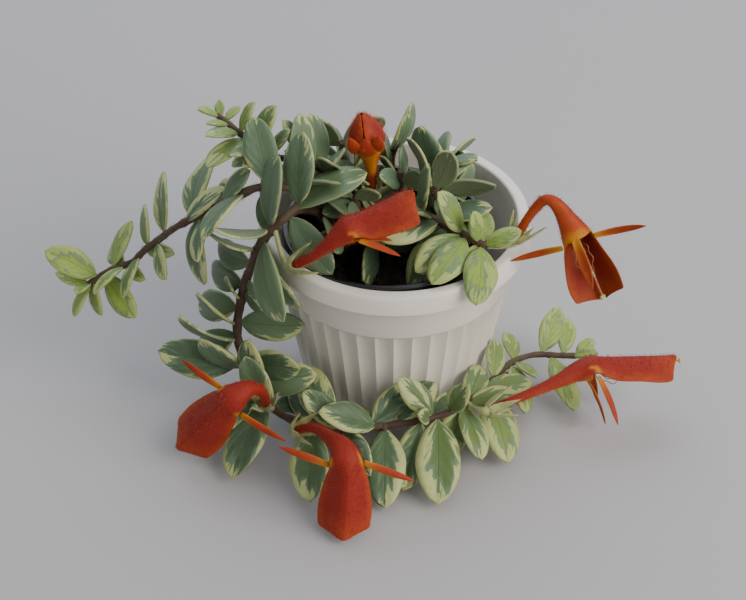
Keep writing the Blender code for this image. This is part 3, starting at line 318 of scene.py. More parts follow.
petalHairMaterial = mottledMaterial("petalHair", {
    "colour": (0.40, 0.045, 0.030, 1), "second": (0.55, 0.13, 0.09, 1), "roughness": 0.5, "coarse": 200.0,
    "fine": 900.0, "bump": 0.0})
petalOutside = petalMaterial("petalOutside", {
    "red": (0.290, 0.022, 0.011, 1), "orange": (0.42, 0.060, 0.010, 1), "yellow": (0.62, 0.24, 0.010, 1),
    "dark": (0.150, 0.009, 0.012, 1)})
petalInside = petalMaterial("petalInside", {
    "red": (0.24, 0.018, 0.005, 1), "orange": (0.38, 0.065, 0.008, 1), "yellow": (0.60, 0.28, 0.015, 1),
    "dark": (0.14, 0.009, 0.004, 1)})
calyxMaterial = mottledMaterial("calyxGreen", {
    "colour": (0.27, 0.33, 0.11, 1), "second": (0.46, 0.49, 0.20, 1), "roughness": 0.55, "coarse": 220.0,
    "fine": 1500.0, "bump": 0.4, "sheen": 0.2})
filamentMaterial = mottledMaterial("filament", {
    "colour": (0.24, 0.085, 0.040, 1), "second": (0.36, 0.17, 0.08, 1), "roughness": 0.4, "coarse": 300.0,
    "fine": 900.0, "bump": 0.1})
antherMaterial = mottledMaterial("anther", {
    "colour": (0.36, 0.26, 0.14, 1), "second": (0.52, 0.44, 0.26, 1), "roughness": 0.7, "coarse": 900.0,
    "fine": 2600.0, "bump": 0.6})
styleMaterial = mottledMaterial("styleFlesh", {
    "colour": (0.46, 0.15, 0.075, 1), "second": (0.55, 0.26, 0.13, 1), "roughness": 0.4, "coarse": 300.0,
    "fine": 900.0, "bump": 0.1})
pistilMaterial = mottledMaterial("stigma", {
    "colour": (0.48, 0.55, 0.14, 1), "second": (0.60, 0.62, 0.24, 1), "roughness": 0.4, "coarse": 300.0,
    "fine": 900.0, "bump": 0.1})
soilMaterial = mottledMaterial("soil", {
    "colour": (0.012, 0.009, 0.007, 1), "second": (0.040, 0.028, 0.019, 1), "roughness": 0.95, "coarse": 260.0,
    "fine": 1400.0, "bump": 1.0, "deep": 0.0010})
print("materials made")


# Pieces

def makePiece(name, mesh, mats, nodes=()):
    for mat in mats:
        mesh.materials.append(mat)
    piece = bpy.data.objects.new(name, mesh)
    bpy.context.scene.collection.objects.link(piece)
    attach(piece, "root")
    if nodes:
        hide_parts(*nodes)
    return piece


def meshOf(bm, name):
    mesh = bpy.data.meshes.new(name)
    bm.to_mesh(mesh)
    bm.free()
    mesh.shade_smooth()
    return mesh


def thicken(piece, thickness, secondMaterial=False, offset=0.0):
    wall = piece.modifiers.new("wall", "SOLIDIFY")
    wall.thickness = thickness
    wall.offset = offset
    wall.use_even_offset = True
    if secondMaterial:
        wall.material_offset = 1


def soften(piece, levels):
    smooth = piece.modifiers.new("smooth", "SUBSURF")
    smooth.levels = levels
    smooth.render_levels = levels


def addPipes(bm, lines, sides):
    # round tubes along points, each drawn as a curve with its own radius at every point
    curve = bpy.data.curves.new("pipes", "CURVE")
    curve.dimensions = "3D"
    curve.bevel_depth = 1.0
    curve.bevel_resolution = max(0, sides // 2 - 2)
    curve.use_fill_caps = True
    for points, radii in lines:
        spline = curve.splines.new("POLY")
        spline.points.add(len(points) - 1)
        for target, place, radius in zip(spline.points, points, radii):
            target.co = (*place, 1.0)
            target.radius = radius
    drawn = bpy.data.objects.new("pipes", curve)
    mesh = bpy.data.meshes.new_from_object(drawn)
    bm.from_mesh(mesh)
    bpy.data.objects.remove(drawn)
    bpy.data.curves.remove(curve)
    bpy.data.meshes.remove(mesh)


def addHairs(bm, roots, length, radius, rng, lean=0.35):
    # fine three-sided hairs, made in small batches because every operator walks its whole mesh
    for start in range(0, len(roots), 150):
        batch = bmesh.new()
        for place, normal in roots[start:start + 150]:
            off = Vector((rng.uniform(-1, 1), rng.uniform(-1, 1), rng.uniform(-1, 1))) * lean
            direction = (normal + off).normalized()
            reach = length * rng.uniform(0.6, 1.15)
            turn = direction.to_track_quat("Z", "Y").to_matrix().to_4x4()
            seat = Matrix.Translation(place + direction * (reach * 0.5 - 0.0001)) @ turn
            bmesh.ops.create_cone(batch, cap_ends=True, segments=3, radius1=radius, radius2=radius * 0.15,
                                  depth=reach, matrix=seat)
        mesh = bpy.data.meshes.new("batch")
        batch.to_mesh(mesh)
        batch.free()
        bm.from_mesh(mesh)
        bpy.data.meshes.remove(mesh)


# Layout, the same rule as the solids follow

def smoothRoute(points, step):
    pts = [Vector(p) for p in points]
    ends = [2 * pts[0] - pts[1]] + pts + [2 * pts[-1] - pts[-2]]
    fine = []
    for a, b, c, d in zip(ends, ends[1:], ends[2:], ends[3:]):
        for i in range(16):
            t = i / 16
            fine.append(0.5 * (2 * b + (c - a) * t + (2 * a - 5 * b + 4 * c - d) * t ** 2
                               + (3 * b - a - 3 * c + d) * t ** 3))
    fine.append(pts[-1])
    run = [0.0]
    for a, b in zip(fine, fine[1:]):
        run.append(run[-1] + (b - a).length)
    count = max(2, round(run[-1] / step))
    return [pointAt(fine, run, run[-1] * i / count) for i in range(count + 1)]


def pointAt(fine, run, distance):
    i = 1
    while i < len(run) - 1 and run[i] < distance:
        i += 1
    share = (distance - run[i - 1]) / max(run[i] - run[i - 1], 1e-9)
    return fine[i - 1].lerp(fine[i], min(max(share, 0.0), 1.0))


def placeAlong(points, distance):
    for a, b in zip(points, points[1:]):
        length = (b - a).length
        if distance <= length:
            return a.lerp(b, distance / length), (b - a).normalized()
        distance -= length
    return points[-1].copy(), (points[-1] - points[-2]).normalized()


def routeLength(points):
    return sum((b - a).length for a, b in zip(points, points[1:]))


def squareTo(vector, direction):
    v = Vector(vector) - Vector(vector).dot(direction) * direction
    if v.length < 1e-6:
        v = direction.orthogonal()
    return v.normalized()


# layout starts
stems = {
    "trailing": {
        "root": (-0.020, -0.006),
        "route": [(-0.024, -0.010, 0.076), (-0.029, -0.015, 0.086), (-0.035, -0.020, 0.091),
                  (-0.042, -0.025, 0.088), (-0.049, -0.024, 0.078), (-0.053, -0.022, 0.066),
                  (-0.057, -0.020, 0.052), (-0.060, -0.022, 0.032), (-0.055, -0.032, 0.018),
                  (-0.044, -0.045, 0.013), (-0.031, -0.053, 0.013), (-0.019, -0.056, 0.014),
                  (-0.005, -0.055, 0.015), (0.008, -0.053, 0.016), (0.019, -0.050, 0.017),
                  (0.028, -0.043, 0.017), (0.037, -0.031, 0.016), (0.046, -0.018, 0.015),
                  (0.055, -0.012, 0.014), (0.064, -0.011, 0.013), (0.072, -0.010, 0.012)],
        "radius": (0.0019, 0.0011),
        "first": 0.036, "spacing": (0.0125, 0.0085),
        "leaf": (0.028, 0.020), "width": 0.44, "spread": 62, "lift": 12, "turn": 0,
    },
    "left": {
        "root": (-0.022, 0.006),
        "route": [(-0.024, 0.000, 0.078), (-0.030, -0.009, 0.092), (-0.039, -0.017, 0.098),
                  (-0.050, -0.016, 0.097), (-0.057, -0.014, 0.092), (-0.067, -0.011, 0.084),
                  (-0.081, -0.009, 0.074), (-0.089, -0.007, 0.066), (-0.095, -0.006, 0.060),
                  (-0.101, -0.005, 0.053), (-0.110, -0.004, 0.048), (-0.118, -0.006, 0.043)],
        "radius": (0.0018, 0.0011),
        "first": 0.048, "spacing": (0.0110, 0.0080),
        "leaf": (0.026, 0.015), "width": 0.45, "spread": 65, "lift": 10, "turn": 0,
    },
    "upper_left": {
        "root": (-0.012, 0.012),
        "route": [(-0.016, 0.008, 0.078), (-0.026, -0.001, 0.094), (-0.036, -0.006, 0.102),
                  (-0.045, -0.006, 0.104), (-0.051, -0.002, 0.106), (-0.056, 0.001, 0.108),
                  (-0.061, 0.005, 0.110), (-0.066, 0.010, 0.111)],
        "radius": (0.0016, 0.0010),
        "first": 0.030, "spacing": (0.0085, 0.0060),
        "leaf": (0.022, 0.012), "width": 0.42, "spread": 60, "lift": 25, "turn": 0,
    },
    "right": {
        "root": (0.008, 0.004),
        "route": [(0.008, 0.000, 0.073), (0.012, -0.010, 0.080), (0.019, -0.018, 0.082),
                  (0.026, -0.024, 0.082), (0.033, -0.028, 0.080)],
        "radius": (0.0017, 0.0012),
        "first": 0.026, "spacing": (0.0085, 0.0070),
        "leaf": (0.024, 0.018), "width": 0.47, "spread": 70, "lift": 10, "turn": 60,
    },
    "crown_middle": {
        "root": (-0.007, -0.003),
        "route": [(-0.009, -0.006, 0.073), (-0.0125, -0.009, 0.081), (-0.0155, -0.0095, 0.088)],
        "radius": (0.0015, 0.0011),
        "first": 0.015, "spacing": (0.0070, 0.0065),
        "leaf": (0.026, 0.021), "width": 0.50, "spread": 76, "lift": 15, "turn": 90,
    },
    "crown_centre": {
        "root": (0.003, 0.010),
        "route": [(0.003, 0.009, 0.073), (0.002, 0.007, 0.083), (0.002, 0.005, 0.090)],
        "radius": (0.0015, 0.0011),
        "first": 0.015, "spacing": (0.0070, 0.0065),
        "leaf": (0.026, 0.021), "width": 0.50, "spread": 76, "lift": 15, "turn": 90,
    },
    "crown_back": {
        "root": (0.009, 0.016),
        "route": [(0.012, 0.018, 0.073), (0.017, 0.015, 0.083), (0.0195, 0.012, 0.091)],
        "radius": (0.0015, 0.0011),
        "first": 0.015, "spacing": (0.0070, 0.0065),
        "leaf": (0.026, 0.021), "width": 0.50, "spread": 76, "lift": 15, "turn": 90,
    },
    "crown_right": {
        "root": (0.016, 0.004),
        "route": [(0.017, 0.003, 0.073), (0.016, -0.001, 0.082), (0.0137, -0.0045, 0.089)],
        "radius": (0.0015, 0.0011),
        "first": 0.015, "spacing": (0.0070, 0.0065),
        "leaf": (0.025, 0.020), "width": 0.50, "spread": 76, "lift": 15, "turn": 90,
    },
    "crown_left": {
        "root": (-0.016, 0.018),
        "route": [(-0.018, 0.020, 0.074), (-0.020, 0.018, 0.086), (-0.020, 0.0135, 0.097)],
        "radius": (0.0015, 0.0011),
        "first": 0.016, "spacing": (0.0072, 0.0065),
        "leaf": (0.027, 0.021), "width": 0.50, "spread": 76, "lift": 15, "turn": 90,
    },
    "crown_far": {
        "root": (-0.002, 0.022),
        "route": [(-0.002, 0.025, 0.073), (-0.001, 0.026, 0.083), (0.001, 0.024, 0.090)],
        "radius": (0.0015, 0.0011),
        "first": 0.016, "spacing": (0.0072, 0.0065),
        "leaf": (0.027, 0.021), "width": 0.50, "spread": 76, "lift": 15, "turn": 90,
    },
}

# each line runs from calyx to hood tip, with the mouth last but one
blooms = {
    "bloom_1": {"line": [(0.037, -0.052, 0.022), (0.0515, -0.0445, 0.023), (0.064, -0.038, 0.0245),
                         (0.074, -0.033, 0.0255), (0.108, -0.026, 0.027)],
                "top": (0.0, 0.4, 0.9), "stem": "trailing", "size": 1.0, "lobes": (65, 12, 0, 1.0)},
    "bloom_2": {"line": [(0.0445, -0.022, 0.080), (0.051, -0.0205, 0.092), (0.0567, -0.022, 0.097),
                         (0.066, -0.026, 0.084), (0.0775, -0.0345, 0.062)],
                "top": (0.15, 0.9, -0.25), "stem": "right", "size": 1.0, "lobes": (0, 55, 11, 1.0)},
    "bloom_3": {"line": [(-0.0357, -0.0604, 0.018), (-0.0298, -0.0656, 0.024), (-0.0232, -0.075, 0.0285),
                         (-0.0167, -0.087, 0.0285), (-0.0176, -0.103, 0.0035)],
                "top": (0.0, -0.6, 0.8), "stem": "trailing", "size": 1.0, "lobes": (0, 15, -25, 1.0)},
    "bloom_4": {"line": [(-0.048, -0.0485, 0.020), (-0.0487, -0.054, 0.031), (-0.0527, -0.058, 0.0365),
                         (-0.0594, -0.062, 0.0345), (-0.081, -0.063, 0.010)],
                "top": (0.1, -0.6, 0.8), "stem": "trailing", "size": 1.0, "lobes": (0, 15, 22, 1.0)},
    "bloom_5": {"line": [(-0.036, -0.0385, 0.079), (-0.030, -0.0405, 0.084), (-0.0235, -0.0405, 0.090),
                         (-0.0165, -0.038, 0.095), (0.0063, -0.0305, 0.107)],
                "top": (-0.3, -0.1, 0.95), "stem": "trailing", "size": 1.0, "lobes": (60, 45, 0, 0.8)},
    "bloom_6": {"line": [(-0.0087, 0.0035, 0.083), (-0.0087, 0.0015, 0.091), (-0.0092, 0.0, 0.099),
                         (-0.0098, -0.001, 0.105), (-0.0125, -0.003, 0.121)],
                "top": (0.0, 1.0, 0.1), "stem": "crown_centre", "size": 0.85, "bud": True,
                "lobes": (80, 80, 0, 0.4)},
}

# distance along the stem, bearing, pitch and length of the leaves whose pose is known
shown = {
    "trailing": [
        (0.054, 55, 20, 0.031), (0.052, 95, 50, 0.030), (0.065, 75, 55, 0.029), (0.056, -55, -25, 0.027),
        (0.065, -150, 20, 0.025), (0.077, -165, 35, 0.024), (0.079, -50, -20, 0.028), (0.070, -40, -35, 0.034),
        (0.094, -55, -10, 0.011), (0.100, -50, -15, 0.012), (0.105, -170, 65, 0.014), (0.117, -170, 50, 0.024),
        (0.123, -165, 35, 0.028), (0.132, 180, 10, 0.034), (0.134, -165, 45, 0.025), (0.143, 160, 75, 0.024),
        (0.154, -170, 75, 0.024), (0.180, 115, 20, 0.029), (0.174, 115, 20, 0.028), (0.197, -165, 30, 0.026),
        (0.184, 175, 45, 0.022), (0.115, -10, 15, 0.027), (0.172, -90, -15, 0.033), (0.150, -110, -15, 0.036),
        (0.146, -120, -15, 0.034), (0.200, -90, -20, 0.034), (0.220, -90, -20, 0.037), (0.219, 170, 50, 0.022),
        (0.217, -125, 60, 0.014), (0.225, -35, 65, 0.020), (0.231, -70, -20, 0.024), (0.235, -95, -25, 0.026),
        (0.244, -80, -20, 0.032), (0.251, 85, 25, 0.018), (0.266, 100, 10, 0.016), (0.278, 65, 30, 0.022),
        (0.287, 75, 30, 0.017), (0.282, -70, -15, 0.027), (0.264, -75, -20, 0.022), (0.214, -105, -20, 0.029),
        (0.266, -45, 0, 0.012), (0.292, 45, 10, 0.012), (0.293, 80, 35, 0.012), (0.291, -25, 30, 0.012),
    ],
    "left": [
        (0.093, 0, 55, 0.020), (0.111, 0, 40, 0.022), (0.108, 75, 40, 0.033), (0.122, 95, 35, 0.026),
        (0.132, 100, 35, 0.018), (0.152, 60, 45, 0.021), (0.158, 180, 35, 0.024), (0.160, 150, 65, 0.013),
        (0.163, 175, 20, 0.014), (0.162, -145, 5, 0.011), (0.162, -120, -35, 0.015), (0.161, -70, -50, 0.014),
        (0.155, -50, -25, 0.022), (0.146, -40, -10, 0.012), (0.134, -20, 10, 0.013), (0.127, -75, -25, 0.017),
        (0.104, -85, -70, 0.028), (0.083, 160, 0, 0.025), (0.099, -100, -25, 0.022),
    ],
    "upper_left": [
        (0.083, 20, 65, 0.018), (0.077, 0, 55, 0.014), (0.091, 25, 65, 0.014), (0.091, -155, 20, 0.015),
        (0.096, -150, 25, 0.011), (0.088, -135, -10, 0.020), (0.081, -150, 15, 0.014), (0.080, 165, -30, 0.015),
        (0.075, -145, 5, 0.014), (0.086, 5, 70, 0.009), (0.102, -160, 35, 0.010), (0.101, 100, 20, 0.009),
        (0.099, 50, 20, 0.009),
    ],
    "right": [
        (0.058, -140, -15, 0.024), (0.051, -145, -50, 0.028), (0.060, -115, -25, 0.026), (0.066, -95, -20, 0.026),
        (0.065, -115, -15, 0.011), (0.058, -175, 65, 0.022), (0.065, 180, 80, 0.015), (0.066, 80, 20, 0.015),
        (0.067, -5, 30, 0.016), (0.064, 75, 25, 0.020), (0.065, 55, 20, 0.024), (0.061, 80, 20, 0.025),
        (0.047, -150, 5, 0.026), (0.043, -150, 30, 0.020),
    ],
    "crown_middle": [
        (0.044, 175, 30, 0.019), (0.040, -145, 25, 0.016), (0.040, -95, 10, 0.018), (0.043, 135, -5, 0.017),
        (0.043, -30, 30, 0.014),
    ],
    "crown_centre": [
        (0.038, 120, 5, 0.016), (0.038, -45, 25, 0.016), (0.036, -140, 35, 0.016), (0.042, 85, 0, 0.018),
    ],
    "crown_back": [(0.044, 90, 0, 0.020), (0.045, 50, 5, 0.018), (0.044, -40, 30, 0.018)],
    "crown_right": [
        (0.043, 130, 50, 0.022), (0.042, -20, 70, 0.021), (0.041, 30, 25, 0.020), (0.039, -20, 35, 0.025),
        (0.036, -25, 30, 0.017), (0.035, -90, 5, 0.010),
    ],
    "crown_left": [
        (0.048, 180, 40, 0.022), (0.046, -110, 10, 0.018), (0.045, 70, -20, 0.016), (0.040, -80, 0, 0.018),
    ],
}

# a short side shoot of the trailing stem
shoot = {
    "stem": "trailing",
    "route": [(-0.003, -0.0545, 0.0155), (-0.0035, -0.062, 0.012), (-0.004, -0.070, 0.009),
              (-0.004, -0.077, 0.0075)],
    "radius": (0.0012, 0.0010),
    "leaves": [(0.021, -95, -8, 0.025), (0.013, -130, 0, 0.018), (0.014, -45, 0, 0.018)],
}
# layout ends


soilTop = 0.058
rootDepth = 0.011
cadStep = 0.013            # the solids' stems bend this often
fineStep = 0.0018
nearRoot = 0.010
nearAngle = 1.2


def stemPoints(spec, step):
    x, y = spec["root"]
    straight = [Vector((x, y, soilTop - rootDepth)), Vector((x, y, soilTop + 0.002))]
    start = [(x, y, soilTop + 0.002), (x, y, soilTop + 0.005)]
    return straight + smoothRoute(start + spec["route"], step)[1:]


def compass(bearing, pitch):
    b, p = math.radians(bearing), math.radians(pitch)
    return Vector((math.cos(p) * math.cos(b), math.cos(p) * math.sin(b), math.sin(p)))


def outward(place):
    flat = Vector((place.x, place.y, 0.0))
    return flat.normalized() if flat.length > 0.02 else Vector((0.0, 0.0, 1.0))


def leafFace(root, ahead):
    hang = max(0.0, -ahead.z)
    face = Vector((0.0, 0.0, 1.0)) + hang * 1.5 * outward(root) + 0.25 * Vector((0.0, -1.0, 0.0))
    return squareTo(face, ahead)


def leafPlan(name, spec, rng):
    points = stemPoints(spec, cadStep)
    total = routeLength(points)
    listed = [(points, leaf, leaf[0] / total) for leaf in shown.get(name, ())]
    if name == shoot["stem"]:
        listed += [(smoothRoute(shoot["route"], cadStep), leaf, 0.6) for leaf in shoot["leaves"]]
    known = []
    for line, (distance, bearing, pitch, length), share in listed:
        root, ahead = placeAlong(line, distance)
        known.append({"root": root, "direction": compass(bearing, pitch), "length": length,
                      "face": leafFace(root, ahead) + 0.3 * outward(root), "width": spec["width"], "share": share})
    wide, close = spec["spacing"]
    longest, shortest = spec["leaf"]
    distance = spec["first"]
    ruled = []
    while distance < total - 0.001:
        share = (distance - spec["first"]) / (total - spec["first"])
        root, ahead = placeAlong(points, distance)
        turn = spec["turn"] * (len(ruled) // 2 % 2) + rng.uniform(-14, 14)
        face = Matrix.Rotation(math.radians(turn), 3, ahead) @ leafFace(root, ahead)
        side = face.cross(ahead)
        for hand in (1, -1):
            spread = math.radians(spec["spread"] * (1 - 0.35 * share) + rng.uniform(-10, 10))
            lift = math.radians(spec["lift"] + rng.uniform(-10, 10))
            flat = math.cos(spread) * ahead + math.sin(spread) * hand * side
            length = (longest + (shortest - longest) * share ** 1.6) * rng.uniform(0.9, 1.08)
            ruled.append({"root": root, "direction": math.cos(lift) * flat + math.sin(lift) * face,
                          "length": length, "face": face + 0.3 * outward(root), "width": spec["width"],
                          "share": share})
        distance += wide + (close - wide) * share
    return known + [leaf for leaf in ruled if not any(standsFor(other, leaf) for other in known)]


def standsFor(known, leaf):
    apart = (known["root"] - leaf["root"]).length
    return apart < nearRoot and known["direction"].angle(leaf["direction"]) < nearAngle


def swung(leaf, lift, swing):
    direction = leaf["direction"].normalized()
    face = squareTo(leaf["face"], direction)
    side = face.cross(direction)
    turned = Matrix.Rotation(lift, 3, side) @ Matrix.Rotation(swing, 3, face)
    return {**leaf, "direction": turned @ direction, "face": turned @ face}


def builtLeaf(leaf, corners):
    # the turn that the solid leaf has: the first one whose tip is a corner of the solid
    for length in (1.0, 0.82):
        for step in range(9):
            reach = math.radians(8 * step)
            for k in range(8 if step else 1):
                tried = swung(leaf, reach * math.sin(k * math.pi / 4), reach * math.cos(k * math.pi / 4))
                tried["length"] = leaf["length"] * length
                tip = tried["root"] + tried["direction"] * (tried["length"] - 0.0004)
                if corners.find(tip)[2] < 0.00003:
                    tried["tip"] = tip
                    return tried
    return None


def cornersOf(node):
    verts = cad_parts[node].data.vertices
    tree = KDTree(len(verts))
    for i, v in enumerate(verts):
        tree.insert(v.co, i)
    tree.balance()
    return tree


# Leaves and stems

leafLook = {
    "columns": 6, "rows": 12, "thickness": 0.0009, "petiole": 0.07, "petioleWidth": 0.085,
    "fold": 0.26, "roll": 0.20, "bow": 0.07, "droop": 0.05, "twist": 14.0, "wave": 0.035,
}
stemLook = {"sides": 10, "swelling": 0.25, "hairsPerMetre": 5200, "hairLength": 0.0014, "hairRadius": 0.00006}
# how pale a stem's first and last leaves are, and how grey its first and last greens
leafTints = {
    "trailing": ((0.02, 0.62), (0.65, 0.12)), "left": ((0.05, 0.66), (0.55, 0.25)),
    "upper_left": ((0.08, 0.55), (0.6, 0.35)), "right": ((0.20, 0.62), (0.6, 0.3)), "crown": ((0.0, 0.12), (0.9, 0.75)),
}


def leafHalf(u, look):
    v = max(0.0, (u - look["petiole"]) / (1 - look["petiole"]))
    oval = max(0.0, math.sin(math.pi * v ** 1.04)) ** 0.54
    return max(oval, look["petioleWidth"] if u < 0.5 else 0.03)


def addLeaf(bm, layers, leaf, rng, tints, look):
    # flatter where a leaf is broad, and with a tip that bends back
    root, tip = leaf["root"], leaf["tip"]
    length = (tip - root).length
    direction = (tip - root).normalized()
    face = squareTo(leaf["face"], direction)
    side = direction.cross(face)
    fold = look["fold"] * rng.uniform(0.5, 1.25) * (1.0 if leaf["width"] < 0.46 else 0.45)
    roll = look["roll"] * rng.uniform(0.6, 1.3)
    bow = look["bow"] * rng.uniform(0.7, 1.4)
    droop = look["droop"] * rng.uniform(-0.3, 1.4)
    twist = math.radians(look["twist"] * rng.uniform(-1, 1))
    phase = rng.uniform(0, 6.28)
    made = bmesh.ops.create_grid(bm, x_segments=look["columns"], y_segments=look["rows"], size=0.5, calc_uvs=True)
    for v in made["verts"]:
        s, u = 2 * v.co.x, v.co.y + 0.5
        u = u - 0.055 * math.sin(2 * math.pi * u)
        half = length * leaf["width"] * 0.535 * leafHalf(u, look) * (1 + look["wave"] * math.sin(9 * u + phase + s))
        across = s * half
        rise = half * (fold * abs(s) ** 1.15 - roll * s ** 4)
        turn = twist * u
        arch = length * (4 * bow * u * (1 - u) - droop * max(0.0, u - 0.65) ** 2 * 4)
        v.co = (root + direction * (length * u)
                + side * (across * math.cos(turn) - rise * math.sin(turn))
                + face * (arch + rise * math.cos(turn) + across * math.sin(turn)))
        for layer, tint in zip(layers, tints):
            v[layer] = tint


def nearestOn(points, place):
    best = None
    for a, b in zip(points, points[1:]):
        edge = b - a
        share = min(max((place - a).dot(edge) / max(edge.length_squared, 1e-12), 0.0), 1.0)
        spot = a + edge * share
        if best is None or (spot - place).length < (best - place).length:
            best = spot
    return best


def stemLines(name, step):
    lines = [(stems[name], stemPoints(stems[name], step))]
    if name == shoot["stem"]:
        lines.append((shoot, smoothRoute(shoot["route"], step)))
    return lines


def growStem(name, leaves):
    look = stemLook
    rng = random.Random("wood " + name)
    bm = bmesh.new()
    pipes = []
    hairs = []
    for spec, points in stemLines(name, fineStep):
        thick, thin = spec["radius"]
        radii = []
        for i, place in enumerate(points):
            share = i / (len(points) - 1)
            knot = max((1 - (place - leaf["root"]).length / 0.0025 for leaf in leaves), default=0.0)
            radii.append((thick + (thin - thick) * share) * (1 + look["swelling"] * max(0.0, knot)
                                                             + 0.06 * math.sin(i * 1.7)))
        pipes.append((points, radii))
        for k in range(int(routeLength(points) * look["hairsPerMetre"])):
            i = rng.randrange(2, len(points) - 1)
            ahead = (points[i + 1] - points[i - 1]).normalized()
            spin = Matrix.Rotation(rng.uniform(0, 2 * math.pi), 3, ahead)
            normal = spin @ ahead.orthogonal().normalized()
            place = points[i].lerp(points[i + 1], rng.random()) + normal * radii[i]
            if place.z > soilTop + 0.001:
                hairs.append((place, normal))
    addPipes(bm, pipes, look["sides"])
    wood = makePiece("wood_" + name, meshOf(bm, "wood_" + name), [woodMaterial], ["stem_" + name])
    bm = bmesh.new()
    addHairs(bm, hairs, look["hairLength"], look["hairRadius"], rng)
    makePiece("stemHairs_" + name, meshOf(bm, "stemHairs_" + name), [hairMaterial])
    return wood


def growLeaves(name, leaves):
    rng = random.Random("leaves " + name)
    look = leafLook
    bm = bmesh.new()
    bm.loops.layers.uv.new("leafUV")
    layers = [bm.verts.layers.float.new(label) for label in ("leafTone", "leafCream", "leafFresh")]
    lines = [points for spec, points in stemLines(name, fineStep)]
    pale, grey = leafTints.get(name, leafTints["crown"])
    for leaf in leaves:
        seats = [nearestOn(points, leaf["root"]) for points in lines]
        leaf["root"] = min(seats, key=lambda spot: (spot - leaf["root"]).length)
        late = min(max((leaf["share"] - 0.15) / 0.6, 0.0), 1.0)
        cream = pale[0] + (pale[1] - pale[0]) * late + rng.uniform(-0.16, 0.20)
        tone = grey[0] + (grey[1] - grey[0]) * late + rng.uniform(-0.2, 0.2)
        young = 0.0 if name.startswith("crown") else max(0.0, leaf["share"] - 0.70) / 0.22
        tints = (min(max(tone, 0.0), 1.0), cream, min(1.0, 0.8 * young + rng.uniform(0, 0.12)))
        addLeaf(bm, layers, leaf, rng, tints, look)
    piece = makePiece("leaves_" + name, meshOf(bm, "leaves_" + name), [leafTop, leafUnder], ["stem_" + name])
    thicken(piece, look["thickness"], True, -1.0)
    return piece


rng = random.Random(7)
plans = {name: leafPlan(name, spec, rng) for name, spec in stems.items()}
leafCount = 0
for name, plan in plans.items():
    corners = cornersOf("stem_" + name)
    leaves = [leaf for leaf in (builtLeaf(leaf, corners) for leaf in plan) if leaf]
    leafCount += len(leaves)
    growStem(name, leaves)
    growLeaves(name, leaves)
print("leaves placed:", leafCount, "of", sum(len(plan) for plan in plans.values()))


# Blooms

bloomLook = {
    "tubeRadius": (0.0016, 0.0048), "flare": 3.2, "mouthSpread": 0.25, "around": 24, "tubeRows": 16, "hoodRows": 20,
    "hoodHalfWidth": 0.0100, "hoodOutline": ((0.0, 0.60), (0.22, 0.76), (0.45, 0.92), (0.68, 1.0), (0.88, 0.96)),
    "hoodDrop": (0.95, 0.25), "hoodRound": 1.4, "tipWidth": 0.08, "tipHollow": 0.78, "ripple": 0.0005,
    "budOutline": ((0.0, 0.60), (0.22, 0.86), (0.45, 0.80), (0.68, 0.60), (0.88, 0.34), (1.0, 0.10)),
    "budWrap": 3.1, "budTuck": 0.6, "wall": 0.0005,
    "lobeLength": 0.020, "lobeHalfWidth": 0.0015, "lipHalfWidth": 0.0021, "lobeSeat": (0.06, 0.65),
    "sepals": 5, "sepalLength": 0.0120, "sepalHalfWidth": 0.0016, "cupLength": 0.0030, "stalkRadius": 0.0009,
    "longStyle": "bloom_1", "styleLift": 0.0006, "styleDrop": 0.0030, "styleRadius": 0.00042, "antherReach": 0.55, "antherDrop": 0.0044,
    "hairLength": 0.0013, "hairRadius": 0.00006, "hairs": 1300, "budCover": (1.6, 2.1, 0.12),
}
ribbonShape = ((0.0, 0.75), (0.4, 1.0), (0.8, 0.72), (1.0, 0.10))
sepalShape = ((0.0, 0.9), (0.3, 1.0), (0.7, 0.5), (1.0, 0.04))


class BloomLine:
    # a bloom's centre line, with its side and back at every distance, carried without twist
    def __init__(self, spec):
        self.size = spec["size"]
        self.bud = spec.get("bud", False)
        self.lobes = spec["lobes"]
        self.points = smoothRoute(spec["line"], 0.0015)
        mouth = Vector(spec["line"][-2])
        nearest = min(range(len(self.points)), key=lambda i: (self.points[i] - mouth).length)
        self.mouth = routeLength(self.points[:nearest + 1])
        self.length = routeLength(self.points)
        self.backs = {nearest: squareTo(spec["top"], self.aheadOf(nearest))}
        for i in range(nearest + 1, len(self.points)):
            self.backs[i] = squareTo(self.backs[i - 1], self.aheadOf(i))
        for i in range(nearest - 1, -1, -1):
            self.backs[i] = squareTo(self.backs[i + 1], self.aheadOf(i))

    def aheadOf(self, i):
        last = len(self.points) - 1
        return (self.points[min(i + 1, last)] - self.points[max(i - 1, 0)]).normalized()

    def at(self, distance):
        place = placeAlong(self.points, distance)[0]
        step = self.length / (len(self.points) - 1)
        spot = min(max(distance / step, 0.0), len(self.points) - 1.001)
        i = int(spot)
        ahead = self.aheadOf(i).lerp(self.aheadOf(i + 1), spot - i).normalized()
        back = squareTo(self.backs[i].lerp(self.backs[i + 1], spot - i), ahead)
        return place, ahead, ahead.cross(back), back

    def hood(self, share):
        return self.at(self.mouth + (self.length - self.mouth) * share)

    def tubeRadius(self, share):
        low, high = bloomLook["tubeRadius"]
        return (low + (high - low) * share ** bloomLook["flare"]) * (0.75 + 0.25 * self.size)

    def tubePoint(self, share, angle, swelling=1.0):
        place, ahead, side, back = self.at(self.mouth * share)
        radius = self.tubeRadius(share) * swelling
        wide = radius * (1 + bloomLook["mouthSpread"] * share ** 2)
        return place + wide * math.cos(angle) * side + radius * math.sin(angle) * back

    def inside(self, share, lift):
        # a point under the hood; what is inside a bud stays close to its foot
        tuck = bloomLook["budTuck"] if self.bud else 1.0
        place, ahead, side, back = self.hood(share * tuck)
        return place + back * lift * tuck


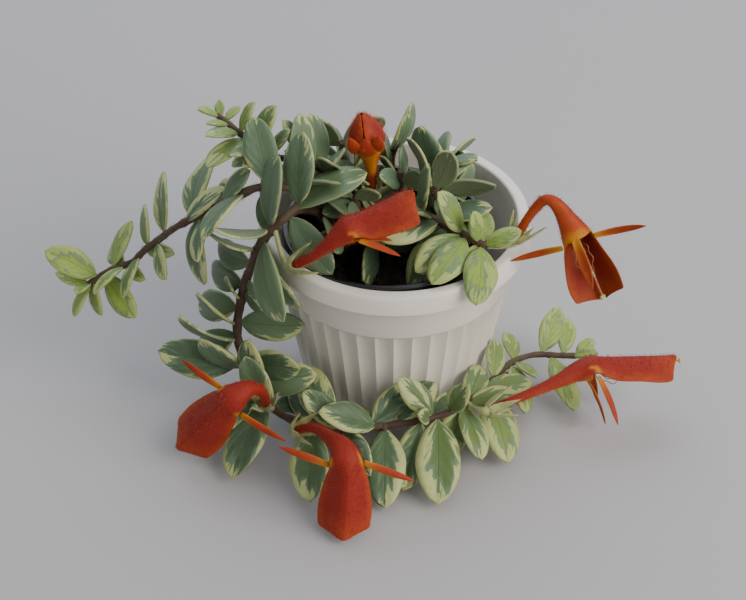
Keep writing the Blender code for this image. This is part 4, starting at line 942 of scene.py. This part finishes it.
def easeThrough(points, t):
    # a smooth curve of values through (position, value) points
    i = max(k for k in range(len(points) - 1) if points[k][0] <= t)
    (a, low), (b, high) = points[i], points[i + 1]
    before = points[i - 1] if i else (2 * a - b, 2 * low - high)
    after = points[i + 2] if i + 2 < len(points) else (2 * b - a, 2 * high - low)
    slopeIn = (high - before[1]) / (b - before[0]) * (b - a)
    slopeOut = (after[1] - low) / (after[0] - a) * (b - a)
    s = (t - a) / (b - a)
    return ((2 * s ** 3 - 3 * s ** 2 + 1) * low + (s ** 3 - 2 * s ** 2 + s) * slopeIn
            + (3 * s ** 2 - 2 * s ** 3) * high + (s ** 3 - s ** 2) * slopeOut)


def hoodWidth(line, share):
    look = bloomLook
    if line.bud:
        return easeThrough(look["budOutline"], share)
    corner, wide = look["hoodOutline"][-1]
    if share <= corner:
        return easeThrough(look["hoodOutline"], share)
    return wide + (look["tipWidth"] - wide) * ((share - corner) / (1 - corner)) ** look["tipHollow"]


def hoodRoof(line, share, across, width):
    # sideways and up from the centre line; a bud's hood wraps round it
    look = bloomLook
    if line.bud:
        turn = across * look["budWrap"] * min(1.0, 0.7 + share)
        return width * math.sin(turn), width * math.cos(turn)
    drop = width * (look["hoodDrop"][0] - look["hoodDrop"][1] * share)
    return across * width, line.tubeRadius(1.0) * (1 - share) - drop * abs(across) ** look["hoodRound"]


def hoodPoint(line, share, across):
    # across runs from -1 to 1 over the hood, whose first rows still follow the round tube
    look = bloomLook
    place, ahead, side, back = line.hood(share)
    x, z = hoodRoof(line, share, across, look["hoodHalfWidth"] * hoodWidth(line, share) * line.size)
    mouth = line.tubeRadius(1.0)
    angle = math.acos(min(max(across, -1.0), 1.0))
    blend = min(1.0, share / look["hoodOutline"][1][0])
    blend = blend * blend * (3 - 2 * blend)
    roundX, roundZ = mouth * (1 + look["mouthSpread"]) * math.cos(angle), mouth * math.sin(angle)
    ripple = look["ripple"] * math.sin(11 * share + 2 * across) * abs(across) ** 3 * blend
    return place + side * (roundX + (x - roundX) * blend) + back * (roundZ + (z - roundZ) * blend + ripple)


def addRibbon(bm, layers, root, direction, face, size, shape, bow, bend, teeth=0.0, columns=4, rows=10):
    # a narrow pointed strip with its edges rolled a little
    length, halfWidth = size
    direction = direction.normalized()
    face = squareTo(face, direction)
    side = direction.cross(face)
    made = bmesh.ops.create_grid(bm, x_segments=columns, y_segments=rows, size=0.5)
    for v in made["verts"]:
        s, u = 2 * v.co.x, v.co.y + 0.5
        half = halfWidth * easeThrough(shape, u) * (1 + teeth * math.sin(31 * u + 2 * s))
        v.co = (root + direction * (length * u) + side * (s * half)
                + face * (length * (4 * bow * u * (1 - u) + bend * u * u) + 0.25 * half * (1 - s * s)))
        for layer, value in zip(layers, (1.4, -0.35, 0.5, 0.75 * (1 - u) ** 3 + 0.30 * s * s)):
            v[layer] = value
    return made["verts"]


def ramp(value, low, high):
    t = min(max((value - low) / (high - low), 0.0), 1.0)
    return t * t * (3 - 2 * t)


def addTube(bm, layers, line, look):
    tube = bmesh.ops.create_grid(bm, x_segments=look["around"], y_segments=look["tubeRows"], size=0.5)
    for v in tube["verts"]:
        share = v.co.y + 0.5
        angle = 2 * math.pi * (v.co.x + 0.5) - math.pi / 2
        under = max(0.0, -math.sin(angle))
        swelling = 1 + 0.03 * math.sin(3 * angle + 5 * share) * (1 - share)
        v.co = line.tubePoint(share, angle, swelling)
        glow = ramp(share, 0.82, 1.0) * (0.15 + 0.85 * under)
        if line.bud:
            glow = max(glow, ramp(share, 0.25, 0.6) * under)
        for layer, value in zip(layers, (share, math.sin(angle), 0.6, glow)):
            v[layer] = value


def addHood(bm, layers, line, look):
    corner = look["hoodOutline"][-1][0]
    hood = bmesh.ops.create_grid(bm, x_segments=look["around"] // 2, y_segments=look["hoodRows"], size=0.5)
    for v in hood["verts"]:
        row = v.co.y + 0.5
        share = row / 0.7 * corner if row < 0.7 else corner + (1 - corner) * (row - 0.7) / 0.3
        across = math.cos(math.pi * (v.co.x + 0.5))
        v.co = hoodPoint(line, share, across)
        glow = (1 - ramp(share, 0.02, 0.16)) * ramp(abs(across), 0.6, 0.98)
        for layer, value in zip(layers, (1 + share, 1.0 - 0.9 * abs(across) ** 3, 1 - abs(across), glow)):
            v[layer] = value


def addLobes(bm, layers, line, look, rng):
    # the lip in front and a lobe at each side, swept as the bloom's own angles say
    sideSweep, lipSweep, turn = (math.radians(a) for a in line.lobes[:3])
    place, ahead, side, back = line.at(line.mouth)
    length = look["lobeLength"] * line.size * line.lobes[3]
    lip = ahead * math.sin(lipSweep) - back * math.cos(lipSweep)
    root = line.tubePoint(1.0, -math.pi / 2) + back * 0.0004 - ahead * 0.0008
    longer, wider, bow = look["budCover"] if line.bud else (1.0, 1.0, 0.05)
    addRibbon(bm, layers, root, lip, -back if line.bud else ahead,
              (length * longer, look["lipHalfWidth"] * wider * line.size), ribbonShape, bow, rng.uniform(-0.02, 0.05))
    share, wide = look["lobeSeat"]
    place, ahead, side, back = line.hood(share)
    for hand in (1, -1):
        x, z = hoodRoof(line, share, hand, look["hoodHalfWidth"] * wide * line.size)
        direction = side * (hand * math.cos(sideSweep)) + lip * math.sin(sideSweep) - back * 0.1
        direction.rotate(Matrix.Rotation(turn, 3, back))
        addRibbon(bm, layers, place + side * (x - hand * 0.0005) + back * z, direction, -back if line.bud else back,
                  (length * longer, look["lobeHalfWidth"] * wider * line.size), ribbonShape, bow,
                  rng.uniform(-0.06, 0.03))


def growCorolla(name, line, look, rng):
    bm = bmesh.new()
    layers = [bm.verts.layers.float.new(label) for label in petalLayers]
    addTube(bm, layers, line, look)
    addHood(bm, layers, line, look)
    bmesh.ops.remove_doubles(bm, verts=bm.verts, dist=0.0001)
    bmesh.ops.recalc_face_normals(bm, faces=bm.faces)
    addLobes(bm, layers, line, look, rng)
    piece = makePiece(name + "_corollaFine", meshOf(bm, name + "_corolla"), [petalOutside, petalInside],
                      [name + "_corolla"])
    thicken(piece, look["wall"], True, -1.0)
    soften(piece, 1)
    return piece


def growPetalHairs(name, line, look, rng):
    roots = []
    for k in range(look["hairs"]):
        share = rng.random()
        if k % 2:
            place, ahead, side, back = line.at(line.mouth * share)
            angle = rng.uniform(0, 2 * math.pi)
            normal = math.cos(angle) * side + math.sin(angle) * back
            roots.append((line.tubePoint(share, angle), normal + ahead * 0.3))
        else:
            place, ahead, side, back = line.hood(share)
            across = rng.uniform(-1, 1)
            roots.append((hoodPoint(line, share, across), back + side * across + ahead * 0.2))
    bm = bmesh.new()
    addHairs(bm, roots, look["hairLength"], look["hairRadius"], rng)
    makePiece(name + "_petalHairs", meshOf(bm, name + "_petalHairs"), [petalHairMaterial])


def growCalyx(name, line, stemSpec, look, rng):
    seat, ahead, side, back = line.at(0.0)
    points = stemPoints(stemSpec, fineStep)
    near = nearestOn(points, seat)
    cup = seat - ahead * look["cupLength"]
    foot = near + (cup - near).normalized() * stemSpec["radius"][0] * 0.6
    middle = foot.lerp(cup, 0.6) - ahead * 0.0010
    route = smoothRoute([foot, middle, cup, cup + ahead * 0.0012, seat - ahead * 0.0004], 0.0008)
    radii = []
    for i in range(len(route)):
        share = i / (len(route) - 1)
        radii.append(look["stalkRadius"] + 0.0016 * max(0.0, (share - 0.45) / 0.55) ** 1.5)
    bm = bmesh.new()
    addPipes(bm, [(route, radii)], 12)
    makePiece(name + "_stalk", meshOf(bm, name + "_stalk"), [calyxMaterial], [name + "_calyx"])
    bm = bmesh.new()
    hairs = []
    for k in range(look["sepals"]):
        angle = 2 * math.pi * k / look["sepals"] + math.pi / 2
        out = math.cos(angle) * side + math.sin(angle) * back
        size = (look["sepalLength"] * line.size * rng.uniform(0.85, 1.05), look["sepalHalfWidth"])
        sheet = addRibbon(bm, (), seat - ahead * 0.0020 + out * 0.0020, ahead + out * rng.uniform(0.30, 0.46), -out,
                          size, sepalShape, -0.03, rng.uniform(-0.08, 0.04), 0.16)
        for v in sheet:
            if rng.random() < 0.6:
                hairs.append((v.co.copy(), out + ahead * 0.4))
    sepals = makePiece(name + "_sepals", meshOf(bm, name + "_sepals"), [calyxMaterial], [name + "_calyx"])
    thicken(sepals, 0.0006)
    soften(sepals, 1)
    for i in range(2, len(route)):
        for k in range(5):
            normal = Matrix.Rotation(rng.uniform(0, 6.28), 3, ahead) @ back
            hairs.append((route[i] + normal * radii[i], normal))
    bm = bmesh.new()
    addHairs(bm, hairs, look["hairLength"] * 1.3, look["hairRadius"], rng)
    makePiece(name + "_calyxHairs", meshOf(bm, name + "_calyxHairs"), [hairMaterial])


def growStyle(name, line, look):
    style = []
    for i in range(13):
        place, ahead, side, back = line.at(line.mouth * i / 12)
        style.append(place + back * look["styleLift"])
    end = 1.0 if name == look["longStyle"] else 0.88
    for i in range(1, 10):
        style.append(line.inside(end * i / 9, look["styleLift"] - look["styleDrop"] * i / 9))
    heading = (style[-1] - style[-2]).normalized()
    tip = style[-1] + heading * 0.0016
    bm = bmesh.new()
    addPipes(bm, [(style + [tip], [look["styleRadius"]] * (len(style) + 1))], 8)
    makePiece(name + "_style", meshOf(bm, name + "_style"), [styleMaterial], [name + "_pistil"])
    bm = bmesh.new()
    for hand in (1, -1):
        bmesh.ops.create_uvsphere(bm, u_segments=12, v_segments=8, radius=0.0008,
                                  matrix=Matrix.Translation(tip + heading.orthogonal().normalized() * 0.0004 * hand))
    makePiece(name + "_stigma", meshOf(bm, name + "_stigma"), [pistilMaterial], [name + "_pistil"])


def growStamens(name, line, look, rng):
    # four fine filaments out of one bundle, loosely curled, with their anthers joined
    bundle = []
    for i in range(10):
        place, ahead, side, back = line.at(line.mouth * i / 9)
        bundle.append(place - back * look["styleLift"])
    end = line.inside(look["antherReach"], -look["antherDrop"])
    place, ahead, side, back = line.hood(look["antherReach"] * (look["budTuck"] if line.bud else 1.0))
    lines = [(bundle, [0.0004] * len(bundle))]
    for k in range(4):
        spread = (k - 1.5) * 0.0014
        low = line.inside(look["antherReach"] * rng.uniform(0.3, 0.6), -0.0048 - 0.0010 * (k % 2)) + side * spread * 1.6
        route = smoothRoute([bundle[-2], bundle[-1] + side * spread * 0.2, low, end + side * spread * 0.5], 0.0007)
        last = len(route) - 1
        for i, spot in enumerate(route):
            sway = math.sin(math.pi * i / last) * 0.0006
            spot += side * (sway * math.sin(i * 0.8 + k)) + back * (sway * math.cos(i * 0.7 + 2 * k))
        lines.append((route, [0.00016] * len(route)))
    bm = bmesh.new()
    addPipes(bm, lines, 6)
    makePiece(name + "_filaments", meshOf(bm, name + "_filaments"), [filamentMaterial],
              [name + "_stamens"])
    bm = bmesh.new()
    for k in range(4):
        spot = end + side * (0.0006 if k % 2 else -0.0006) + ahead * (0.0006 if k // 2 else -0.0006)
        turn = Matrix.Translation(spot) @ ahead.to_track_quat("Z", "Y").to_matrix().to_4x4()
        bmesh.ops.create_uvsphere(bm, u_segments=10, v_segments=8, radius=0.0007,
                                  matrix=turn @ Matrix.Diagonal((0.8, 0.8, 1.4, 1.0)))
    makePiece(name + "_anthers", meshOf(bm, name + "_anthers"), [antherMaterial], [name + "_stamens"])


for name, spec in blooms.items():
    bloomRng = random.Random("bloom " + name)
    line = BloomLine(spec)
    growCorolla(name, line, bloomLook, bloomRng)
    growPetalHairs(name, line, bloomLook, bloomRng)
    growCalyx(name, line, stems[spec["stem"]], bloomLook, bloomRng)
    growStyle(name, line, bloomLook)
    growStamens(name, line, bloomLook, bloomRng)
print("blooms grown:", len(blooms))


# Pots and soil

potLook = {
    "height": 0.074, "baseRadius": 0.037, "taper": 0.166, "wall": 0.0017, "floor": 0.0020,
    "rimRadius": 0.0520, "rimDepth": 0.0078, "lipOuter": 0.0509, "lipInner": 0.0463, "lipRound": 0.0011,
    "bandBottom": 0.0501, "fluteBottom": 0.0020, "flutes": 40, "fluteDepth": 0.0010, "bandStep": 0.0006,
    "stepsPerFlute": 9,
}


def spunMesh(name, profile, steps):
    bm = bmesh.new()
    verts = [bm.verts.new((r, 0.0, z)) for r, z in profile]
    edges = [bm.edges.new(pair) for pair in zip(verts, verts[1:])]
    bmesh.ops.spin(bm, geom=verts + edges, cent=(0, 0, 0), axis=(0, 0, 1), angle=2 * math.pi, steps=steps,
                   use_merge=True, use_duplicate=False)
    bmesh.ops.remove_doubles(bm, verts=bm.verts, dist=1e-6)
    return bm


def roundCorner(before, corner, after, radius, count=4):
    # a corner of a profile, cut back by radius and rounded
    a, b, c = (Vector((*p, 0.0)) for p in (before, corner, after))
    start = b + (a - b).normalized() * radius
    end = b + (c - b).normalized() * radius
    return [tuple((start * (1 - t) ** 2 + 2 * b * t * (1 - t) + end * t ** 2)[:2]) for t in (i / count for i in range(count + 1))]


def roundedProfile(points, radii):
    made = [points[0]]
    for before, corner, after, radius in zip(points, points[1:], points[2:], radii[1:]):
        made += roundCorner(before, corner, after, radius) if radius else [corner]
    return made + [points[-1]]


def makePot(look):
    def side(z):
        return look["baseRadius"] + look["taper"] * z

    apron = look["height"] - look["rimDepth"]
    bottom, band, step = look["fluteBottom"], look["bandBottom"], look["bandStep"]
    points = [(0.0, 0.0), (side(0.0), 0.0), (side(bottom), bottom), (side(bottom) - step, bottom + 0.0008),
              (side(0.018) - step, 0.018), (side(0.034) - step, 0.034), (side(band) - step, band - 0.0006),
              (side(band), band + 0.0002), (side(apron), apron), (look["rimRadius"], apron),
              (look["lipOuter"], look["height"]), (look["lipInner"], look["height"]),
              (look["lipInner"] - 0.0006, apron), (side(band) - look["wall"] - 0.001, band),
              (side(look["floor"]) - look["wall"] - 0.001, look["floor"]), (0.0, look["floor"])]
    radii = [0, 0.0007, 0.0003, 0.0003, 0, 0, 0.0003, 0.0004, 0.0005, 0.0006, 0.0016, 0.0012, 0.002, 0, 0.002, 0]
    bm = spunMesh("pot", roundedProfile(points, radii), look["flutes"] * look["stepsPerFlute"])
    top, low = band - 0.0004, bottom + 0.0006
    for v in bm.verts:
        radius = math.hypot(v.co.x, v.co.y)
        if low < v.co.z < top and radius > side(v.co.z) - step - 0.0008:
            across = math.atan2(v.co.y, v.co.x) * look["flutes"] / (2 * math.pi) % 1.0
            ends = min(1.0, (top - v.co.z) / 0.0004, (v.co.z - low) / 0.0004)
            scale = 1 - look["fluteDepth"] * (1 - (2 * across - 1) ** 2) * ends / radius
            v.co.x *= scale
            v.co.y *= scale
    bmesh.ops.recalc_face_normals(bm, faces=bm.faces)
    mesh = meshOf(bm, "potFine")
    mesh.set_sharp_from_angle(angle=math.radians(38))
    makePiece("potFine", mesh, [whitePlastic], ["pot"])


linerLook = {
    "centre": (-0.0035, -0.0050), "top": 0.0725, "lipRadius": 0.0390, "lipWidth": 0.0030, "baseRadius": 0.0270,
    "wall": 0.0011, "floor": 0.0023, "steps": 96,
}


def makeLiner(look):
    lip, top, wall = look["lipRadius"], look["top"], look["wall"]
    wallTop = lip - look["lipWidth"] + wall
    points = [(0.0, look["floor"]), (look["baseRadius"], look["floor"]), (wallTop, top - 0.006), (lip, top - 0.004),
              (lip, top), (wallTop - wall + 0.0004, top), (wallTop - wall, top - 0.004),
              (look["baseRadius"] - wall, look["floor"] + wall), (0.0, look["floor"] + wall)]
    radii = [0, 0.001, 0.0006, 0.0008, 0.0011, 0.0007, 0.001, 0.001, 0]
    bm = spunMesh("liner", roundedProfile(points, radii), look["steps"])
    bmesh.ops.translate(bm, verts=bm.verts, vec=(*look["centre"], 0.0))
    bmesh.ops.recalc_face_normals(bm, faces=bm.faces)
    mesh = meshOf(bm, "linerFine")
    mesh.set_sharp_from_angle(angle=math.radians(40))
    makePiece("linerFine", mesh, [blackPlastic], ["nursery_pot"])


soilLook = {"rings": 22, "steps": 80, "lumps": 0.0016, "grains": 420, "grainSize": (0.0005, 0.0017)}


def makeSoil(look, liner):
    rng = random.Random(3)
    floor = liner["floor"] + liner["wall"] + 0.0003
    inner = liner["lipRadius"] - liner["lipWidth"]
    rise = (inner - (liner["baseRadius"] - liner["wall"])) / (liner["top"] - 0.004 - floor)
    low = liner["baseRadius"] - liner["wall"] - 0.0006
    high = low + rise * (soilTop - 0.001 - floor)
    profile = [(0.0, floor), (low, floor), (high, soilTop - 0.001)]
    profile += [(high * (1 - i / look["rings"]), soilTop - 0.0003) for i in range(1, look["rings"] + 1)]
    bm = spunMesh("soil", profile, look["steps"])
    for v in bm.verts:
        if v.co.z > soilTop - 0.0005:
            v.co.z += look["lumps"] * noise.noise(v.co * 190.0) + look["lumps"] * 0.5 * noise.noise(v.co * 620.0)
    bmesh.ops.translate(bm, verts=bm.verts, vec=(*liner["centre"], 0.0))
    bmesh.ops.recalc_face_normals(bm, faces=bm.faces)
    makePiece("soilFine", meshOf(bm, "soilFine"), [soilMaterial], ["soil"])
    bm = bmesh.new()
    for start in range(0, look["grains"], 60):
        batch = bmesh.new()
        for k in range(60):
            angle, out = rng.uniform(0, 2 * math.pi), high * 0.97 * math.sqrt(rng.random())
            place = Vector((liner["centre"][0] + out * math.cos(angle), liner["centre"][1] + out * math.sin(angle),
                            soilTop + rng.uniform(-0.0004, 0.0006)))
            size = rng.uniform(*look["grainSize"])
            turn = Matrix.Rotation(rng.uniform(0, 3.1), 4, "X") @ Matrix.Rotation(rng.uniform(0, 3.1), 4, "Z")
            shape = Matrix.Diagonal((size * rng.uniform(0.7, 1.8), size, size * rng.uniform(0.4, 0.9), 1.0))
            bmesh.ops.create_icosphere(batch, subdivisions=1, radius=1.0, matrix=Matrix.Translation(place) @ turn @ shape)
        mesh = bpy.data.meshes.new("batch")
        batch.to_mesh(mesh)
        batch.free()
        bm.from_mesh(mesh)
        bpy.data.meshes.remove(mesh)
    makePiece("soilGrains", meshOf(bm, "soilGrains"), [soilMaterial])


makePot(potLook)
makeLiner(linerLook)
makeSoil(soilLook, linerLook)
print("pots and soil made")


# Floor and light
stageLook = {
    "floor": (0.455, 0.444, 0.456, 1), "sky": (0.92, 0.95, 1.0, 1), "horizon": (0.60, 0.58, 0.56, 1),
    "skyStrength": 0.58, "key": (19.5, (1.0, -0.60, 0.80), 1.1, (1.0, 0.93, 0.84)),
    "top": (10.0, (-0.10, 0.85, 1.0), 1.2, (0.82, 0.91, 1.0)),
}


def areaLight(name, look):
    power, place, size, colour = look
    data = bpy.data.lights.new(name, "AREA")
    data.energy = power
    data.size = size
    data.color = colour
    lamp = bpy.data.objects.new(name, data)
    bpy.context.scene.collection.objects.link(lamp)
    lamp.location = place
    lamp.rotation_euler = (Vector((0, 0, 0.05)) - Vector(place)).to_track_quat("-Z", "Y").to_euler()


def setStage(look):
    bm = bmesh.new()
    bmesh.ops.create_grid(bm, x_segments=2, y_segments=2, size=3.0)
    floor = bpy.data.objects.new("floor", meshOf(bm, "floor"))
    mat, tree, shader = startMaterial("floorPale", Roughness=0.9)
    shader.inputs["Base Color"].default_value = look["floor"]
    floor.data.materials.append(mat)
    bpy.context.scene.collection.objects.link(floor)
    world = bpy.data.worlds.new("studio")
    world.use_nodes = True
    tree = world.node_tree
    light = tree.nodes["Background"]
    light.inputs["Strength"].default_value = look["skyStrength"]
    coords = addNode(tree, "ShaderNodeTexCoord").outputs["Generated"]
    height = addNode(tree, "ShaderNodeSeparateXYZ", None, Vector=coords).outputs["Z"]
    tree.links.new(mixColour(tree, smoothStep(tree, height, -0.1, 0.9), look["horizon"], look["sky"]),
                   light.inputs["Color"])
    bpy.context.scene.world = world
    areaLight("key", look["key"])
    areaLight("top", look["top"])


setStage(stageLook)
